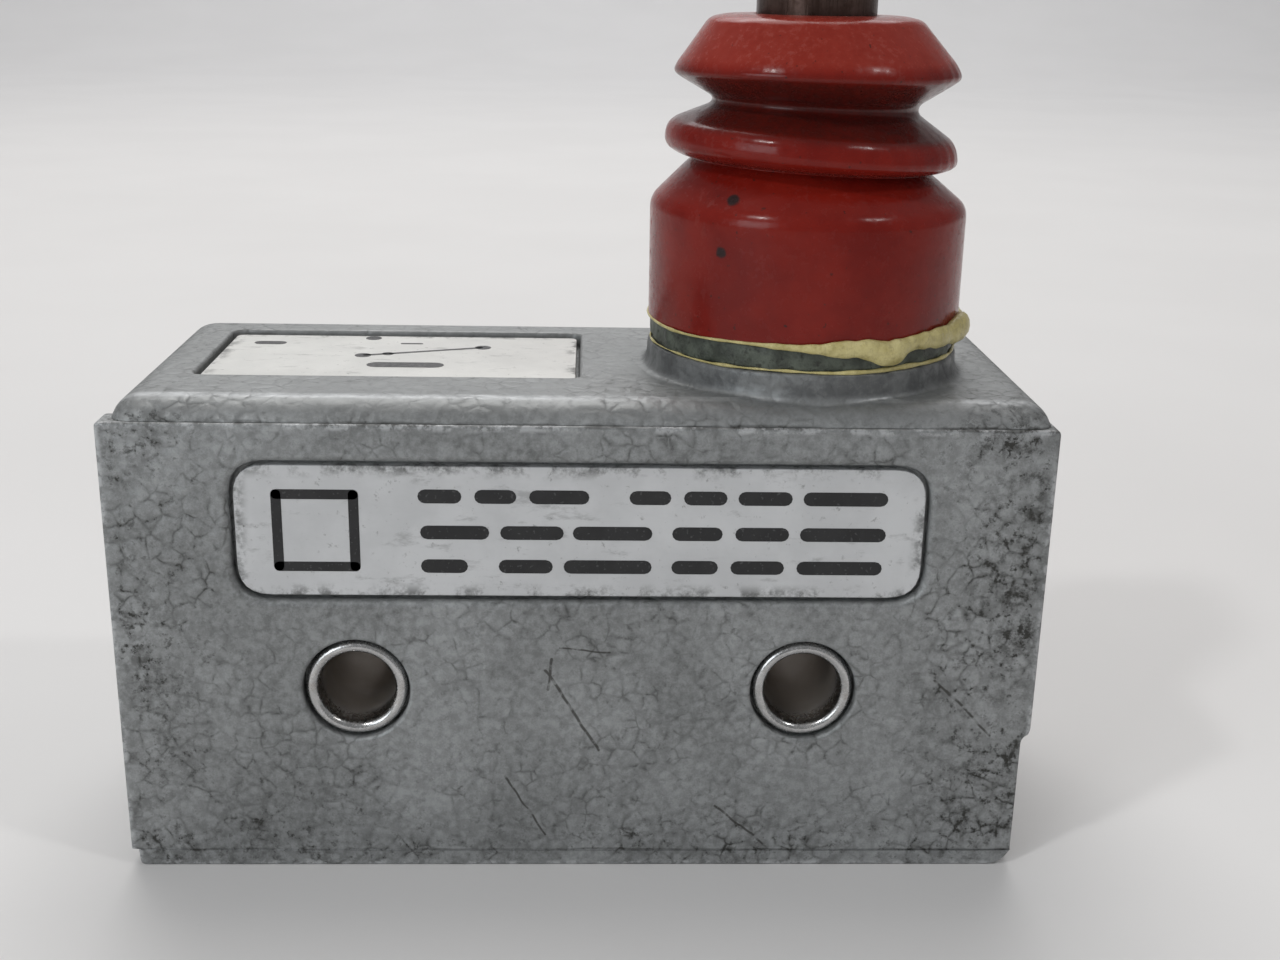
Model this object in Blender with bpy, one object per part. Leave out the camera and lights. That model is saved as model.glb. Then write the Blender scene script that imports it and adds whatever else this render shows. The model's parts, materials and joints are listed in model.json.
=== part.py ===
"""Enclosed snap-action limit switch with a booted plunger, built as separate named pieces.

Frame: X along the case (the plunger is on the +X side), -Y is the labelled front, +Z up.
The origin is at the bottom centre of the case, midway between the two mounting eyelets.
All lengths below are in millimetres and are turned into metres when the meshes are made.
"""
import math

import bmesh
import bpy
from mathutils import Vector

MM = 0.001
GAP = 0.3                 # clearance between pieces that touch in the real switch

# Case
CASE_LENGTH = 52.2        # length over the front cover
CASE_DEPTH = 21.3         # front face to back face
CASE_HEIGHT = 28.0        # table to the top face
COVER_STEP = 0.4          # the cover stands out past the housing at each end
WALL = 1.8                # housing wall
COVER_THICKNESS = 1.8
PLATE_THICKNESS = 0.85    # bottom plate
LIP_HEIGHT = 1.0          # edge of the top wall that runs over the cover
TOP_CORNER = 2.2          # rounding of the top corners, seen from the front
EDGE_ROUND = 1.8          # rounding of the front top edge and the back edges
CORNER_SEGMENTS = 5

# Gasket and its rebate
GASKET_THICKNESS = 0.7
GASKET_WIDTH = 1.3
REBATE_RIM = 0.8          # wall left outside the gasket

# Mounting eyelets
HOLE_PITCH = 25.4
HOLE_HEIGHT = 11.23
EYELET_BORE = 4.3
EYELET_WALL = 0.5
EYELET_LIP = 0.3          # how far the rolled lip stands out past the tube
EYELET_LIP_LENGTH = 0.7
EYELET_SINK = 0.2         # the lip sits this far below each face
HOLE_CHAMFER = 0.25
PILLAR_WALL = 0.95        # material round each eyelet hole inside the case

# Labels
LABEL_LENGTH = 38.5       # front recess
LABEL_HEIGHT = 8.1
LABEL_BOTTOM = 16.63
LABEL_CORNER = 2.0
RECESS_DEPTH = 0.9
LABEL_THICKNESS = 0.3
TOP_LABEL_LENGTH = 22.1   # top recess
TOP_LABEL_WIDTH = 11.7
TOP_LABEL_MARGIN = 3.4    # from the left end of the housing to the recess
TOP_LABEL_BACK = 3.3      # from the back face to the recess

# Lead entry at the lower right end
ENTRY_NOTCH_HEIGHT = 8.34
ENTRY_NOTCH_DEPTH = 0.5
ENTRY_WIDTH = 11.0
ENTRY_HEIGHT = 5.2
ENTRY_BOTTOM = 2.3
LEAD_HOLE = 2.8
LEAD_SPACING = 3.5
ENTRY_FLANGE = 0.8

# Boss, boot and plunger
PLUNGER_OFFSET = 13.0     # plunger axis from the case centre
BOSS_RADIUS = 9.15
BOSS_HEIGHT = 1.5
BAND_HEIGHT = 0.8         # adhesive between the boss and the boot
BAND_INSET = 0.15
BOOT_WALL = 0.9
SKIRT_HEIGHT = 6.6
BOOT_HEIGHT = 17.25
PLUNGER_RADIUS = 3.4
PLUNGER_REACH = 5.85      # plunger above the top of the boot
PLUNGER_DOME = 0.7
TRAVEL = 5.5              # full plunger travel
SPRING_WIRE = 0.8
SPRING_CLEARANCE = 0.5
SPRING_TURNS = 5
RING_THICKNESS = 0.8
RING_WIDTH = 1.2          # how far a ring stands out past the plunger
RING_BITE = 0.4           # depth of a ring groove in the plunger
RETURN_RING_DROP = 2.2    # upper ring below the top of the boot
BUSHING_GUIDE = 4.2
BUSHING_RISE = 4.5        # bushing above the boss
BUSHING_DROP = 2.2        # bushing below the top wall
FLANGE_THICKNESS = 1.2
FLANGE_WIDTH = 1.2
TAIL = 0.7                # plunger below its stop-ring groove
RETAINING_WIDTH = 0.5     # how far the bushing ring stands out past the boss bore

# Overtravel spring and seat
PLUNGER_BORE = 2.2
BORE_DEPTH = 9.8
OVERTRAVEL_WIRE = 0.5
OVERTRAVEL_TURNS = 9
SEAT_FLANGE = 0.8
SEAT_SHANK_RADIUS = 0.85
SEAT_SHANK = 2.8

# Basic switch
SWITCH_END_GAP = 1.5      # from the switch to the housing end walls
SWITCH_COVER_THICKNESS = 1.3
COVER_PILLAR = 1.65       # pillar inside the front cover
BACK_PILLAR = 2.5         # pillar inside the housing back
SWITCH_WALL = 1.2
SWITCH_HEADROOM = 1.25    # plunger above the switch at full travel
CHAMBER_MARGIN = 0.6
PIN_RADIUS = 1.2
PIN_RISE = 1.3
PIN_FLANGE = 0.7
PIN_TRAVEL = 0.4
BLADE_THICKNESS = 0.3
BLADE_WIDTH = 3.2
BLADE_TAIL = 1.5          # blade past the pin
PIVOT_OFFSET = 6.0        # blade pivot to the pin
CONTACT_ARM = 12.0        # blade pivot to the contacts
CONTACT_RADIUS = 1.2
CONTACT_THICKNESS = 0.6
RIVET_HEAD = 0.3
RIVET_SHANK = 0.6
TERMINAL_THICKNESS = 0.7
TERMINAL_WIDTH = 3.0
LUG_LENGTH = 4.6
LUG_HEIGHT = 4.0
LUG_CLEARANCE = 0.6       # lugs below the switch base
SCREW_RADIUS = 1.0
SCREW_HEAD_RADIUS = 1.8
SCREW_HEAD_HEIGHT = 1.2
SCREW_REACH = 1.0         # screw behind its lug
LUG_HOLE_SHIFT = 0.45     # screw hole away from the upright strip
WASHER_THICKNESS = 0.4
LINER_THICKNESS = 0.6

# Values that follow
HALF_LENGTH = CASE_LENGTH / 2
HALF_DEPTH = CASE_DEPTH / 2
BODY_HALF = HALF_LENGTH - COVER_STEP
CAVITY_HALF = BODY_HALF - WALL
CEILING = CASE_HEIGHT - WALL
LIP_BOTTOM = CASE_HEIGHT - LIP_HEIGHT
COVER_TOP = LIP_BOTTOM - GAP
COVER_BOTTOM = PLATE_THICKNESS + GAP
COVER_BACK = -HALF_DEPTH + COVER_THICKNESS
BODY_FRONT = COVER_BACK + GAP
BODY_BACK_INNER = HALF_DEPTH - WALL
REBATE_BACK = BODY_FRONT + GASKET_THICKNESS + GAP
REBATE_HALF = BODY_HALF - REBATE_RIM
REBATE_TOP = LIP_BOTTOM - 0.4
TUBE_RADIUS = EYELET_BORE / 2 + EYELET_WALL
LIP_RADIUS = TUBE_RADIUS + EYELET_LIP
HOLE_RADIUS = TUBE_RADIUS + GAP
LIP_HOLE_RADIUS = LIP_RADIUS + GAP
PILLAR_RADIUS = HOLE_RADIUS + PILLAR_WALL
HOLES_X = (-HOLE_PITCH / 2, HOLE_PITCH / 2)

BOSS_TOP = CASE_HEIGHT + BOSS_HEIGHT
BAND_BOTTOM = BOSS_TOP + GAP
BOOT_BOTTOM = BAND_BOTTOM + BAND_HEIGHT + GAP
BOOT_TOP = BOOT_BOTTOM + BOOT_HEIGHT
PLUNGER_TOP = BOOT_TOP + PLUNGER_REACH
STOP_RING_RADIUS = PLUNGER_RADIUS + RING_WIDTH
COUNTERBORE = STOP_RING_RADIUS + GAP
BUSHING_NECK = COUNTERBORE + 0.8
BUSHING_RADIUS = BUSHING_NECK + 0.5
BOSS_BORE = BUSHING_RADIUS + GAP
FLANGE_RADIUS = BUSHING_RADIUS + FLANGE_WIDTH
SKIRT_INNER = FLANGE_RADIUS + 2 * GAP
SKIRT_RADIUS = BOSS_RADIUS + 0.05
BUSHING_TOP = BOSS_TOP + BUSHING_RISE
BUSHING_BOTTOM = CEILING - BUSHING_DROP
COUNTERBORE_TOP = BUSHING_TOP - BUSHING_GUIDE
STOP_RING_TOP = COUNTERBORE_TOP - GAP
STOP_RING_BOTTOM = STOP_RING_TOP - RING_THICKNESS
PLUNGER_BOTTOM = STOP_RING_BOTTOM - TAIL
BORE_TOP = PLUNGER_BOTTOM + BORE_DEPTH
RETURN_RING_TOP = BOOT_TOP - RETURN_RING_DROP
RETURN_RING_BOTTOM = RETURN_RING_TOP - RING_THICKNESS
RETURN_RADIUS = PLUNGER_RADIUS + SPRING_CLEARANCE + SPRING_WIRE / 2
BOOT_GROOVE = RETURN_RADIUS + SPRING_WIRE / 2 + SPRING_CLEARANCE + BOOT_WALL

SWITCH_TOP = PLUNGER_BOTTOM - TRAVEL - SWITCH_HEADROOM
SWITCH_BOTTOM = HOLE_HEIGHT - PILLAR_RADIUS - 0.73
SWITCH_HALF = CAVITY_HALF - SWITCH_END_GAP
COVER_PILLAR_END = COVER_BACK + COVER_PILLAR
SWITCH_COVER_FRONT = COVER_PILLAR_END + GAP
BASE_FRONT = SWITCH_COVER_FRONT + SWITCH_COVER_THICKNESS + GAP
BACK_PILLAR_END = BODY_BACK_INNER - BACK_PILLAR
BASE_BACK = BACK_PILLAR_END - GAP
CHAMBER_BACK = BASE_BACK - 1.4
CHAMBER_TOP = SWITCH_TOP - SWITCH_WALL
CHAMBER_BOTTOM = SWITCH_BOTTOM + SWITCH_WALL
CHAMBER_HALF = HOLE_PITCH / 2 + PILLAR_RADIUS + CHAMBER_MARGIN

PIVOT_X = PLUNGER_OFFSET - PIVOT_OFFSET
CONTACT_X = PIVOT_X - CONTACT_ARM
CONTACT_SWING = CONTACT_ARM * PIN_TRAVEL / PIVOT_OFFSET
NO_SHELF_TOP = CHAMBER_TOP - GAP
NO_CONTACT_TOP = NO_SHELF_TOP - TERMINAL_THICKNESS - GAP
NO_CONTACT_BOTTOM = NO_CONTACT_TOP - CONTACT_THICKNESS
RIVET_TOP = NO_CONTACT_BOTTOM - GAP - CONTACT_SWING
BLADE_TOP = RIVET_TOP - RIVET_HEAD - GAP
BLADE_BOTTOM = BLADE_TOP - BLADE_THICKNESS
BLADE_Z = (BLADE_TOP + BLADE_BOTTOM) / 2
RIVET_BOTTOM = BLADE_BOTTOM - GAP - RIVET_HEAD
NC_CONTACT_TOP = RIVET_BOTTOM - GAP
NC_CONTACT_BOTTOM = NC_CONTACT_TOP - CONTACT_THICKNESS
NC_SHELF_TOP = NC_CONTACT_BOTTOM - GAP
LUG_TOP = SWITCH_BOTTOM - LUG_CLEARANCE
LUG_BOTTOM = LUG_TOP - LUG_HEIGHT
LUG_Z = (LUG_TOP + LUG_BOTTOM) / 2
PIN_TOP = SWITCH_TOP + PIN_RISE
PIN_BOTTOM = BLADE_TOP + GAP
SEAT_BOTTOM = PIN_TOP + GAP

# Colours: name -> (red, green, blue, metallic, roughness)
FINISHES = {
    "paint": (0.27, 0.30, 0.31, 0.35, 0.45),
    "rubber_red": (0.30, 0.015, 0.012, 0.0, 0.35),
    "rubber_black": (0.02, 0.02, 0.02, 0.0, 0.7),
    "adhesive": (0.10, 0.12, 0.09, 0.0, 0.6),
    "sealant": (0.72, 0.60, 0.30, 0.0, 0.4),
    "steel_dark": (0.16, 0.16, 0.17, 1.0, 0.35),
    "steel_bright": (0.62, 0.61, 0.60, 1.0, 0.25),
    "spring_steel": (0.45, 0.45, 0.47, 1.0, 0.3),
    "label_silver": (0.72, 0.73, 0.74, 0.6, 0.35),
    "label_white": (0.80, 0.80, 0.78, 0.0, 0.5),
    "brass": (0.72, 0.52, 0.22, 1.0, 0.3),
    "bronze": (0.60, 0.36, 0.18, 1.0, 0.3),
    "silver": (0.85, 0.84, 0.82, 1.0, 0.2),
    "phenolic": (0.035, 0.022, 0.016, 0.0, 0.5),
    "fibre": (0.45, 0.33, 0.18, 0.0, 0.8),
}


def clear_scene():
    """Remove every object, so that the script starts from nothing."""
    for item in list(bpy.data.objects):
        bpy.data.objects.remove(item, do_unlink=True)


def material(finish):
    """Return the Principled BSDF material of one finish."""
    known = bpy.data.materials.get(finish)
    if known:
        return known
    red, green, blue, metallic, roughness = FINISHES[finish]
    made = bpy.data.materials.new(finish)
    made.use_nodes = True
    shader = made.node_tree.nodes["Principled BSDF"]
    shader.inputs["Base Color"].default_value = (red, green, blue, 1.0)
    shader.inputs["Metallic"].default_value = metallic
    shader.inputs["Roughness"].default_value = roughness
    made.diffuse_color = (red, green, blue, 1.0)
    return made


def place(name, mesh_data, origin=(0.0, 0.0, 0.0), finish=None, parent=None):
    """Turn a bmesh in case millimetres into an object whose own origin is `origin`."""
    bmesh.ops.recalc_face_normals(mesh_data, faces=mesh_data.faces)
    for vertex in mesh_data.verts:
        vertex.co = (vertex.co - Vector(origin)) * MM
    mesh = bpy.data.meshes.new(name)
    mesh_data.to_mesh(mesh)
    mesh_data.free()
    item = bpy.data.objects.new(name, mesh)
    bpy.context.scene.collection.objects.link(item)
    if finish:
        mesh.materials.append(material(finish))
    if parent:
        item.parent = parent
        base = Vector(parent["case_mm"])
        item.location = (Vector(origin) - base) * MM
    else:
        item.location = Vector(origin) * MM
    return item


def empty(name, at):
    """Make an empty at a point in case millimetres; moving pieces are parented to it."""
    item = bpy.data.objects.new(name, None)
    bpy.context.scene.collection.objects.link(item)
    item.location = Vector(at) * MM
    item["case_mm"] = list(at)
    return item


def box_mesh(low, high):
    """A box between two corners."""
    data = bmesh.new()
    bmesh.ops.create_cube(data, size=1.0)
    for vertex in data.verts:
        for axis in range(3):
            middle = (low[axis] + high[axis]) / 2
            vertex.co[axis] = middle + vertex.co[axis] * (high[axis] - low[axis])
    return data


def prism_mesh(outline, axis, start, end):
    """Extrude a closed outline along an axis. The outline's two numbers are the other two axes."""
    others = [index for index in range(3) if index != axis]
    data = bmesh.new()
    rings = []
    for level in (start, end):
        ring = []
        for first, second in outline:
            point = [0.0, 0.0, 0.0]
            point[others[0]] = first
            point[others[1]] = second
            point[axis] = level
            ring.append(data.verts.new(point))
        rings.append(ring)
    count = len(outline)
    data.faces.new(rings[0])
    data.faces.new(list(reversed(rings[1])))
    for index in range(count):
        after = (index + 1) % count
        data.faces.new((rings[0][index], rings[1][index], rings[1][after], rings[0][after]))
    return data


def lathe_mesh(profile, centre, axis=2, steps=32):
    """Turn a closed profile of (radius, height) points about an axis through `centre`.

    Points on the axis become one vertex. Height is measured along the axis in case millimetres.
    """
    others = [index for index in range(3) if index != axis]
    data = bmesh.new()
    rings = []
    for radius, height in profile:
        ring = []
        for step in range(steps if radius > 0 else 1):
            angle = 2 * math.pi * step / steps
            point = [0.0, 0.0, 0.0]
            point[axis] = height
            point[others[0]] = centre[0] + radius * math.cos(angle)
            point[others[1]] = centre[1] + radius * math.sin(angle)
            ring.append(data.verts.new(point))
        rings.append(ring)
    for index in range(len(rings)):
        first = rings[index]
        second = rings[(index + 1) % len(rings)]
        if len(first) == 1 and len(second) == 1:
            continue
        for step in range(steps):
            after = (step + 1) % steps
            if len(first) == 1:
                data.faces.new((first[0], second[after], second[step]))
            elif len(second) == 1:
                data.faces.new((first[step], first[after], second[0]))
            else:
                data.faces.new((first[step], first[after], second[after], second[step]))
    return data


def cylinder_mesh(radius, start, end, centre, axis=2, steps=32):
    """A plain cylinder along an axis."""
    return lathe_mesh([(0, start), (radius, start), (radius, end), (0, end)], centre, axis, steps)


def sweep_mesh(path, radii, sides):
    """A closed tube along a path of points, with its own radius at each point."""
    data = bmesh.new()
    rings = []
    count = len(path)
    for index, point in enumerate(path):
        ahead = path[min(index + 1, count - 1)]
        behind = path[max(index - 1, 0)]
        forward = (Vector(ahead) - Vector(behind)).normalized()
        side = forward.cross(Vector((0, 0, 1))).normalized()
        upward = side.cross(forward)
        ring = []
        for step in range(sides):
            angle = 2 * math.pi * step / sides
            offset = side * math.cos(angle) + upward * math.sin(angle)
            ring.append(data.verts.new(Vector(point) + offset * radii[index]))
        rings.append(ring)
    for first, second in zip(rings, rings[1:]):
        for step in range(sides):
            after = (step + 1) % sides
            data.faces.new((first[step], first[after], second[after], second[step]))
    data.faces.new(list(reversed(rings[0])))
    data.faces.new(rings[-1])
    return data


def coil_mesh(radius, wire, bottom, top, turns, centre):
    """An open-coiled compression spring between two heights."""
    steps = turns * 14
    path = []
    for step in range(steps + 1):
        share = step / steps
        angle = 2 * math.pi * turns * share
        height = bottom + wire / 2 + (top - bottom - wire) * share
        path.append((centre[0] + radius * math.cos(angle),
                     centre[1] + radius * math.sin(angle), height))
    return sweep_mesh(path, [wire / 2] * len(path), 5)


def rounded_outline(low, high, radii, segments=CORNER_SEGMENTS):
    """A rectangle outline with its own radius at each corner.

    `radii` is (low-low, high-low, high-high, low-high); a zero radius keeps the corner sharp.
    """
    corners = (
        (low[0], low[1], 1, 1, math.pi),
        (high[0], low[1], -1, 1, 1.5 * math.pi),
        (high[0], high[1], -1, -1, 0.0),
        (low[0], high[1], 1, -1, 0.5 * math.pi),
    )
    outline = []
    for (first, second, turn_a, turn_b, begin), radius in zip(corners, radii):
        if radius <= 0:
            outline.append((first, second))
            continue
        for step in range(segments + 1):
            angle = begin + 0.5 * math.pi * step / segments
            outline.append((first + turn_a * radius + radius * math.cos(angle),
                            second + turn_b * radius + radius * math.sin(angle)))
    return outline


def boolean(item, mesh_data, operation, name):
    """Join or cut `item` with a hidden guide shape."""
    guide = place(name, mesh_data)
    guide.hide_render = True
    guide.display_type = "WIRE"
    modifier = item.modifiers.new(name, "BOOLEAN")
    modifier.operation = operation
    modifier.solver = "EXACT"
    modifier.object = guide


def cut(item, mesh_data, name):
    """Remove a shape from an object."""
    boolean(item, mesh_data, "DIFFERENCE", "cut_" + name)


def join(item, mesh_data, name):
    """Add a shape that overlaps an object."""
    boolean(item, mesh_data, "UNION", "add_" + name)


def bevel(item, width, segments=2):
    """Round every edge sharper than 40 degrees."""
    modifier = item.modifiers.new("edge_round", "BEVEL")
    modifier.width = width * MM
    modifier.segments = segments
    modifier.limit_method = "ANGLE"
    modifier.angle_limit = math.radians(40)


def smooth(item):
    """Shade round surfaces smooth and keep real edges sharp."""
    item.data.shade_smooth()
    item.data.set_sharp_from_angle(angle=math.radians(35))


def stepped_bore(front, back, near_radius, radius):
    """Profile of a hole with a wider, chamfered mouth at one face and a plain run behind it.

    `front` is the face, `back` the far end past the wall, `near_radius` the mouth's radius.
    """
    way = 1 if back > front else -1
    seat = front + way * (EYELET_SINK + EYELET_LIP_LENGTH + GAP)
    return [
        (0, front - way),
        (near_radius + HOLE_CHAMFER + 1.0, front - way),
        (near_radius + HOLE_CHAMFER, front),
        (near_radius, front + way * HOLE_CHAMFER),
        (near_radius, seat),
        (radius, seat),
        (radius, back),
        (0, back),
    ]


def build_housing():
    """Die-cast housing: top, back and ends, with the boss, open at the front and the bottom."""
    outline = rounded_outline((-BODY_HALF, COVER_BOTTOM), (BODY_HALF, CASE_HEIGHT),
                              (0, 0, TOP_CORNER, TOP_CORNER))
    housing = place("housing", prism_mesh(outline, 1, -HALF_DEPTH, HALF_DEPTH), finish="paint")
    bevel(housing, EDGE_ROUND, 4)
    cut(housing, box_mesh((-HALF_LENGTH - 1, -HALF_DEPTH - 1, -1),
                          (HALF_LENGTH + 1, BODY_FRONT, LIP_BOTTOM)), "cover_seat")
    cut(housing, box_mesh((-CAVITY_HALF, -HALF_DEPTH - 2, -2),
                          (CAVITY_HALF, BODY_BACK_INNER, CEILING)), "cavity")
    cut(housing, box_mesh((-REBATE_HALF, -HALF_DEPTH - 3, -3),
                          (REBATE_HALF, REBATE_BACK, REBATE_TOP)), "gasket_rebate")
    foot = BOSS_RADIUS + 0.3
    boss = [(0, CASE_HEIGHT - 0.7), (foot, CASE_HEIGHT - 0.7), (foot, CASE_HEIGHT),
            (BOSS_RADIUS, CASE_HEIGHT + 0.3), (BOSS_RADIUS, BOSS_TOP - 0.2),
            (BOSS_RADIUS - 0.2, BOSS_TOP), (0, BOSS_TOP)]
    join(housing, lathe_mesh(boss, (PLUNGER_OFFSET, 0), 2, 40), "boss")
    for side, hole in zip(("left", "right"), HOLES_X):
        join(housing, cylinder_mesh(PILLAR_RADIUS, BACK_PILLAR_END, BODY_BACK_INNER + 0.5,
                                    (hole, HOLE_HEIGHT), 1, 24), "pillar_" + side)
    cut(housing, cylinder_mesh(BOSS_BORE, CEILING - 2, BOSS_TOP + 2, (PLUNGER_OFFSET, 0), 2, 36),
        "boss_bore")
    for side, hole in zip(("left", "right"), HOLES_X):
        profile = stepped_bore(HALF_DEPTH, BACK_PILLAR_END - 1, LIP_HOLE_RADIUS, HOLE_RADIUS)
        cut(housing, lathe_mesh(profile, (hole, HOLE_HEIGHT), 1, 24), "back_hole_" + side)
    recess_x = -BODY_HALF + TOP_LABEL_MARGIN
    recess_y = HALF_DEPTH - TOP_LABEL_BACK
    recess = rounded_outline((recess_x, recess_y - TOP_LABEL_WIDTH),
                             (recess_x + TOP_LABEL_LENGTH, recess_y), (0.5,) * 4, 3)
    cut(housing, prism_mesh(recess, 2, CASE_HEIGHT - RECESS_DEPTH, CASE_HEIGHT + 1), "top_recess")
    entry = rounded_outline((-ENTRY_WIDTH / 2 - GAP, ENTRY_BOTTOM - GAP),
                            (ENTRY_WIDTH / 2 + GAP, ENTRY_BOTTOM + ENTRY_HEIGHT + GAP),
                            (1.0,) * 4, 3)
    cut(housing, prism_mesh(entry, 0, CAVITY_HALF - 1, HALF_LENGTH + 1), "lead_entry")
    smooth(housing)
    return housing


def build_bottom_plate():
    """Plate that closes the bottom, rounded up at both ends."""
    radius = 1.5
    right = BODY_HALF - radius + math.sqrt(radius ** 2 - (radius - PLATE_THICKNESS) ** 2)
    outline = [(-BODY_HALF + 0.4, 0), (BODY_HALF - radius, 0)]
    for step in range(1, 5):
        height = PLATE_THICKNESS * step / 5
        reach = math.sqrt(radius ** 2 - (radius - height) ** 2)
        outline.append((BODY_HALF - radius + reach, height))
    outline += [(right, PLATE_THICKNESS), (-BODY_HALF, PLATE_THICKNESS), (-BODY_HALF, 0.4)]
    plate = place("bottom_plate", prism_mesh(outline, 1, -HALF_DEPTH, HALF_DEPTH), finish="paint")
    bevel(plate, 0.15, 1)
    return plate


def build_front_cover():
    """Front cover with the label recess, the lead-entry notch and two stepped holes."""
    step_x = HALF_LENGTH - ENTRY_NOTCH_DEPTH
    outline = [(-HALF_LENGTH, COVER_BOTTOM), (step_x, COVER_BOTTOM),
               (step_x, ENTRY_NOTCH_HEIGHT - 0.3), (step_x + 0.15, ENTRY_NOTCH_HEIGHT),
               (HALF_LENGTH - 0.1, ENTRY_NOTCH_HEIGHT + 0.15),
               (HALF_LENGTH, ENTRY_NOTCH_HEIGHT + 0.5),
               (HALF_LENGTH, COVER_TOP - 0.4), (HALF_LENGTH - 0.4, COVER_TOP),
               (-HALF_LENGTH + 0.4, COVER_TOP), (-HALF_LENGTH, COVER_TOP - 0.4)]
    cover = place("front_cover", prism_mesh(outline, 1, -HALF_DEPTH, COVER_BACK), finish="paint")
    bevel(cover, 0.2, 2)
    for side, hole in zip(("left", "right"), HOLES_X):
        join(cover, cylinder_mesh(PILLAR_RADIUS, COVER_BACK - 0.5, COVER_PILLAR_END,
                                  (hole, HOLE_HEIGHT), 1, 24), "cover_pillar_" + side)
    for side, hole in zip(("left", "right"), HOLES_X):
        profile = stepped_bore(-HALF_DEPTH, COVER_PILLAR_END + 1, LIP_HOLE_RADIUS, HOLE_RADIUS)
        cut(cover, lathe_mesh(profile, (hole, HOLE_HEIGHT), 1, 24), "front_hole_" + side)
    recess = rounded_outline((-LABEL_LENGTH / 2, LABEL_BOTTOM),
                             (LABEL_LENGTH / 2, LABEL_BOTTOM + LABEL_HEIGHT), (LABEL_CORNER,) * 4)
    cut(cover, prism_mesh(recess, 1, -HALF_DEPTH - 1, -HALF_DEPTH + RECESS_DEPTH), "front_recess")
    smooth(cover)
    return cover


def build_gasket():
    """Flat gasket frame in the housing rebate, behind the cover."""
    half = REBATE_HALF - GAP
    bottom = COVER_BOTTOM + GAP
    top = REBATE_TOP - GAP
    gasket = place("cover_gasket", box_mesh((-half, BODY_FRONT, bottom),
                                            (half, BODY_FRONT + GASKET_THICKNESS, top)),
                   finish="rubber_black")
    cut(gasket, box_mesh((-half + GASKET_WIDTH, BODY_FRONT - 1, bottom + GASKET_WIDTH),
                         (half - GASKET_WIDTH, BODY_FRONT + 3, top - GASKET_WIDTH)), "gasket_window")
    return gasket


def build_labels():
    """Front rating label and top circuit label, each a thin plate in its recess."""
    back = -HALF_DEPTH + RECESS_DEPTH - GAP
    outline = rounded_outline((-LABEL_LENGTH / 2 + GAP, LABEL_BOTTOM + GAP),
                              (LABEL_LENGTH / 2 - GAP, LABEL_BOTTOM + LABEL_HEIGHT - GAP),
                              (LABEL_CORNER - GAP,) * 4)
    place("rating_label", prism_mesh(outline, 1, back - LABEL_THICKNESS, back),
          finish="label_silver")
    left = -BODY_HALF + TOP_LABEL_MARGIN + GAP
    rear = HALF_DEPTH - TOP_LABEL_BACK - GAP
    floor = CASE_HEIGHT - RECESS_DEPTH + GAP
    outline = rounded_outline((left, rear - TOP_LABEL_WIDTH + 2 * GAP),
                              (left + TOP_LABEL_LENGTH - 2 * GAP, rear), (0.4,) * 4, 3)
    place("circuit_label", prism_mesh(outline, 2, floor, floor + LABEL_THICKNESS),
          finish="label_white")


def build_eyelets():
    """Two through eyelets with rolled lips at both faces."""
    bore = EYELET_BORE / 2
    end = HALF_DEPTH - EYELET_SINK
    neck = end - EYELET_LIP_LENGTH
    profile = [(bore, -end + 0.3), (bore + 0.1, -end + 0.1), (bore + 0.3, -end),
               (LIP_RADIUS - 0.15, -end), (LIP_RADIUS, -end + 0.15), (LIP_RADIUS, -neck),
               (TUBE_RADIUS, -neck), (TUBE_RADIUS, neck), (LIP_RADIUS, neck),
               (LIP_RADIUS, end - 0.15), (LIP_RADIUS - 0.15, end), (bore + 0.3, end),
               (bore + 0.1, end - 0.1), (bore, end - 0.3)]
    for side, hole in zip(("left", "right"), HOLES_X):
        eyelet = place("mounting_eyelet_" + side, lathe_mesh(profile, (hole, HOLE_HEIGHT), 1, 24),
                       origin=(hole, 0, HOLE_HEIGHT), finish="steel_bright")
        smooth(eyelet)


def build_lead_entry():
    """Rubber bush in the right end wall, with a hole for each of the three leads."""
    inner = rounded_outline((-ENTRY_WIDTH / 2, ENTRY_BOTTOM),
                            (ENTRY_WIDTH / 2, ENTRY_BOTTOM + ENTRY_HEIGHT), (0.8,) * 4, 3)
    flange = rounded_outline((-ENTRY_WIDTH / 2 - 0.9, COVER_BOTTOM + GAP),
                             (ENTRY_WIDTH / 2 + 0.9, ENTRY_BOTTOM + ENTRY_HEIGHT + 0.9),
                             (0.8,) * 4, 3)
    inside = CAVITY_HALF - GAP
    bush = place("lead_entry_bush", prism_mesh(inner, 0, inside - 0.2, HALF_LENGTH - 0.1),
                 finish="rubber_black")
    join(bush, prism_mesh(flange, 0, inside - ENTRY_FLANGE, inside), "entry_flange")
    centre = ENTRY_BOTTOM + ENTRY_HEIGHT / 2
    for number, shift in enumerate((-LEAD_SPACING, 0.0, LEAD_SPACING), start=1):
        cut(bush, cylinder_mesh(LEAD_HOLE / 2, inside - 3, HALF_LENGTH + 1, (shift, centre), 0, 20),
            "lead_%d" % number)
    return bush


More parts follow.
